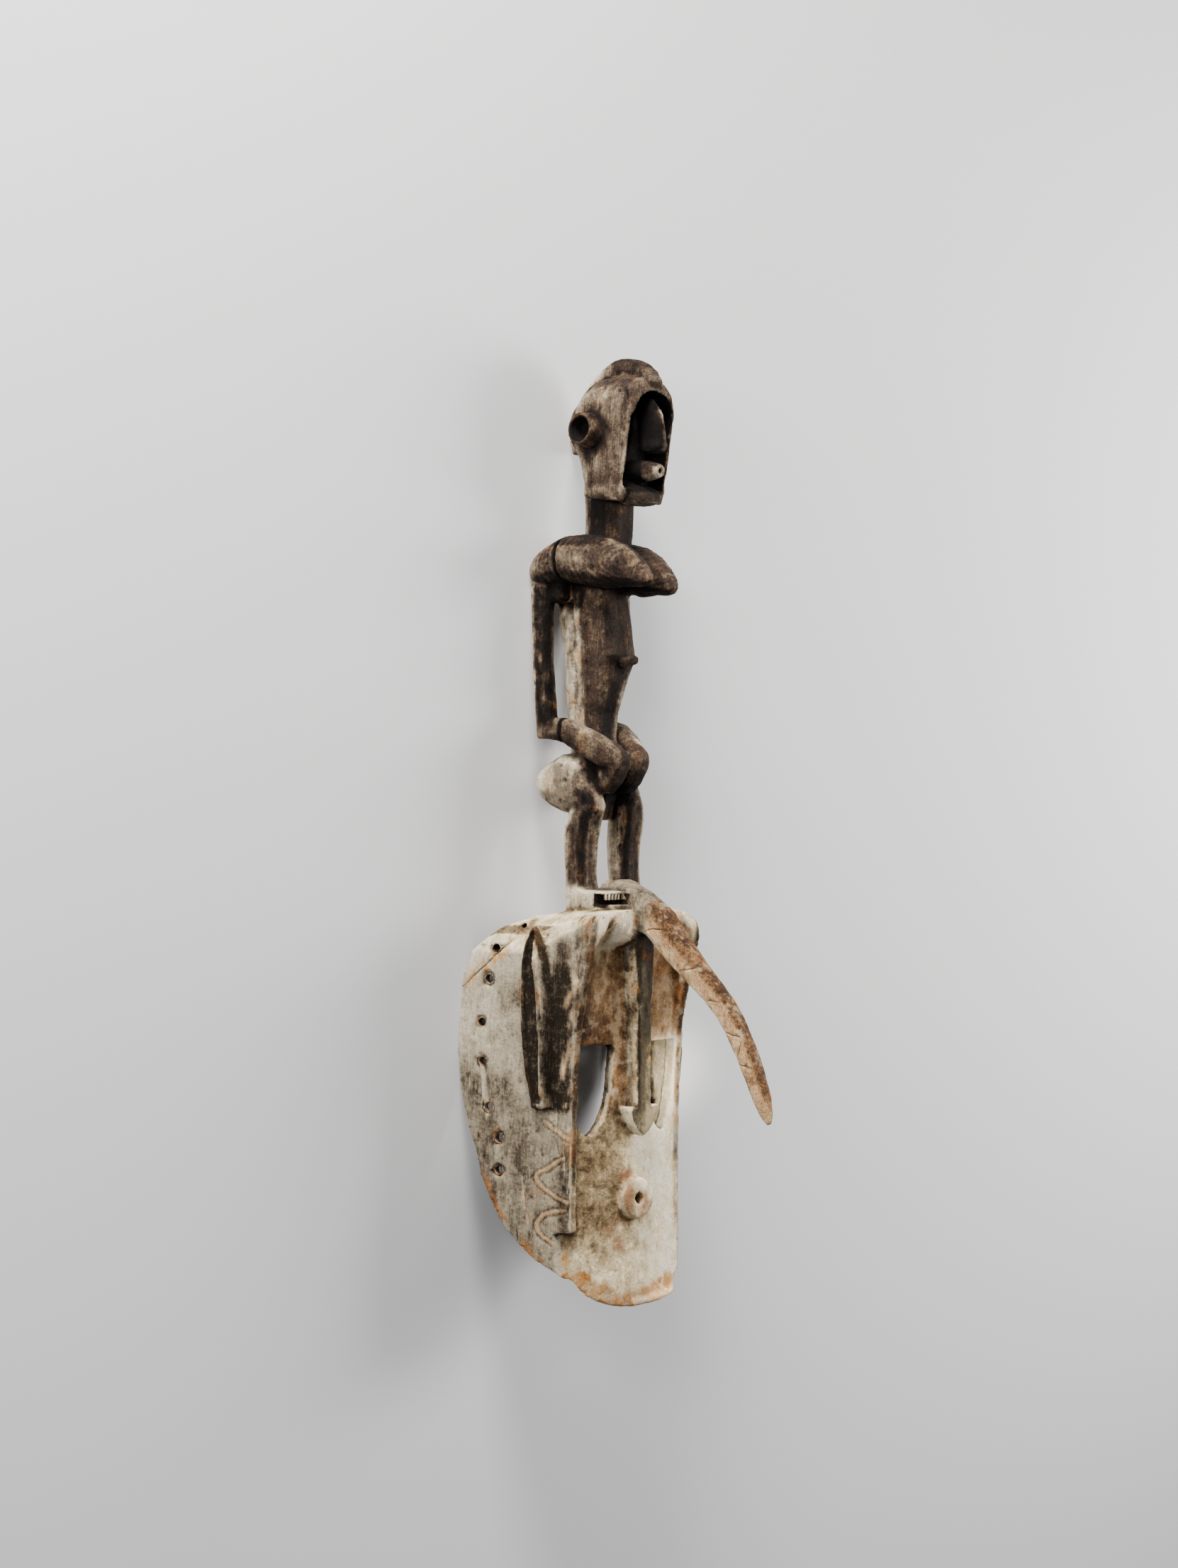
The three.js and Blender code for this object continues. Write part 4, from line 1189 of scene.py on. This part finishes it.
floor_mesh = bpy.data.meshes.new("floor")
corners = [(x * FLOOR_HALF, y * FLOOR_HALF, 0) for x, y in ((-1, -1), (1, -1), (1, 1), (-1, 1))]
floor_mesh.from_pydata(corners, [], [(0, 1, 2, 3)])
floor = own("floor", floor_mesh)
floor_material = bpy.data.materials.new("pale_floor")
floor_material.use_nodes = True
floor_shader = floor_material.node_tree.nodes["Principled BSDF"]
floor_shader.inputs["Base Color"].default_value = FLOOR_COLOR
floor_shader.inputs["Roughness"].default_value = 0.9
floor.data.materials.append(floor_material)


def worn_way(x, y, z):
    """A worn direction as a world direction of length one."""
    v = Vector((-x, SIN * y + COS * z, COS * y - SIN * z))
    return v.normalized()


def looking(position, target, up):
    """Placement of a light or camera that looks at the target."""
    back = (position - target).normalized()
    right = up.cross(back).normalized()
    true_up = back.cross(right)
    m = Matrix((right, true_up, back)).transposed().to_4x4()
    m.translation = position
    return m


TARGET = Vector(to_world([(6.3, -6.75, 485.8)])[0])

for name, way, distance, size, power, color in LIGHTS:
    data = bpy.data.lights.new(name, "AREA")
    data.shape = "RECTANGLE"
    data.size, data.size_y = size
    data.energy = power
    data.color = color
    lamp = own(name, data)
    lamp.matrix_world = looking(TARGET + worn_way(*way) * distance, TARGET, LIGHT_UP)
    lamp.visible_camera = False

# A narrow spot on the inner face of the far wall, seen through its eye hole
AIM = Vector(to_world([(-66.0, 24.0, 207.0)])[0])
spot = bpy.data.lights.new("low", "SPOT")
spot.spot_size = math.radians(3.4)
spot.spot_blend = 0.9
spot.shadow_soft_size = 0.03
spot.energy = 260
spot.color = (1.0, 0.93, 0.82)
own("low", spot).matrix_world = looking(AIM + worn_way(0.73, 0.68, 0.03) * 1.6, AIM, LIGHT_UP)

world = bpy.data.worlds.new("studio")
world.use_nodes = True
world.node_tree.nodes["Background"].inputs["Color"].default_value = WORLD_COLOR
world.node_tree.nodes["Background"].inputs["Strength"].default_value = WORLD_STRENGTH
bpy.context.scene.world = world

lens = bpy.data.cameras.new("camera")
lens.sensor_fit = "VERTICAL"
lens.sensor_height = SENSOR
lens.lens = SENSOR * CAMERA_DISTANCE / SPAN
camera = own("camera", lens)
camera.matrix_world = looking(
    TARGET + worn_way(math.sin(VIEW), math.cos(VIEW), 0) * (CAMERA_DISTANCE / 1000), TARGET, worn_way(0, 0, 1)
)
bpy.context.scene.camera = camera
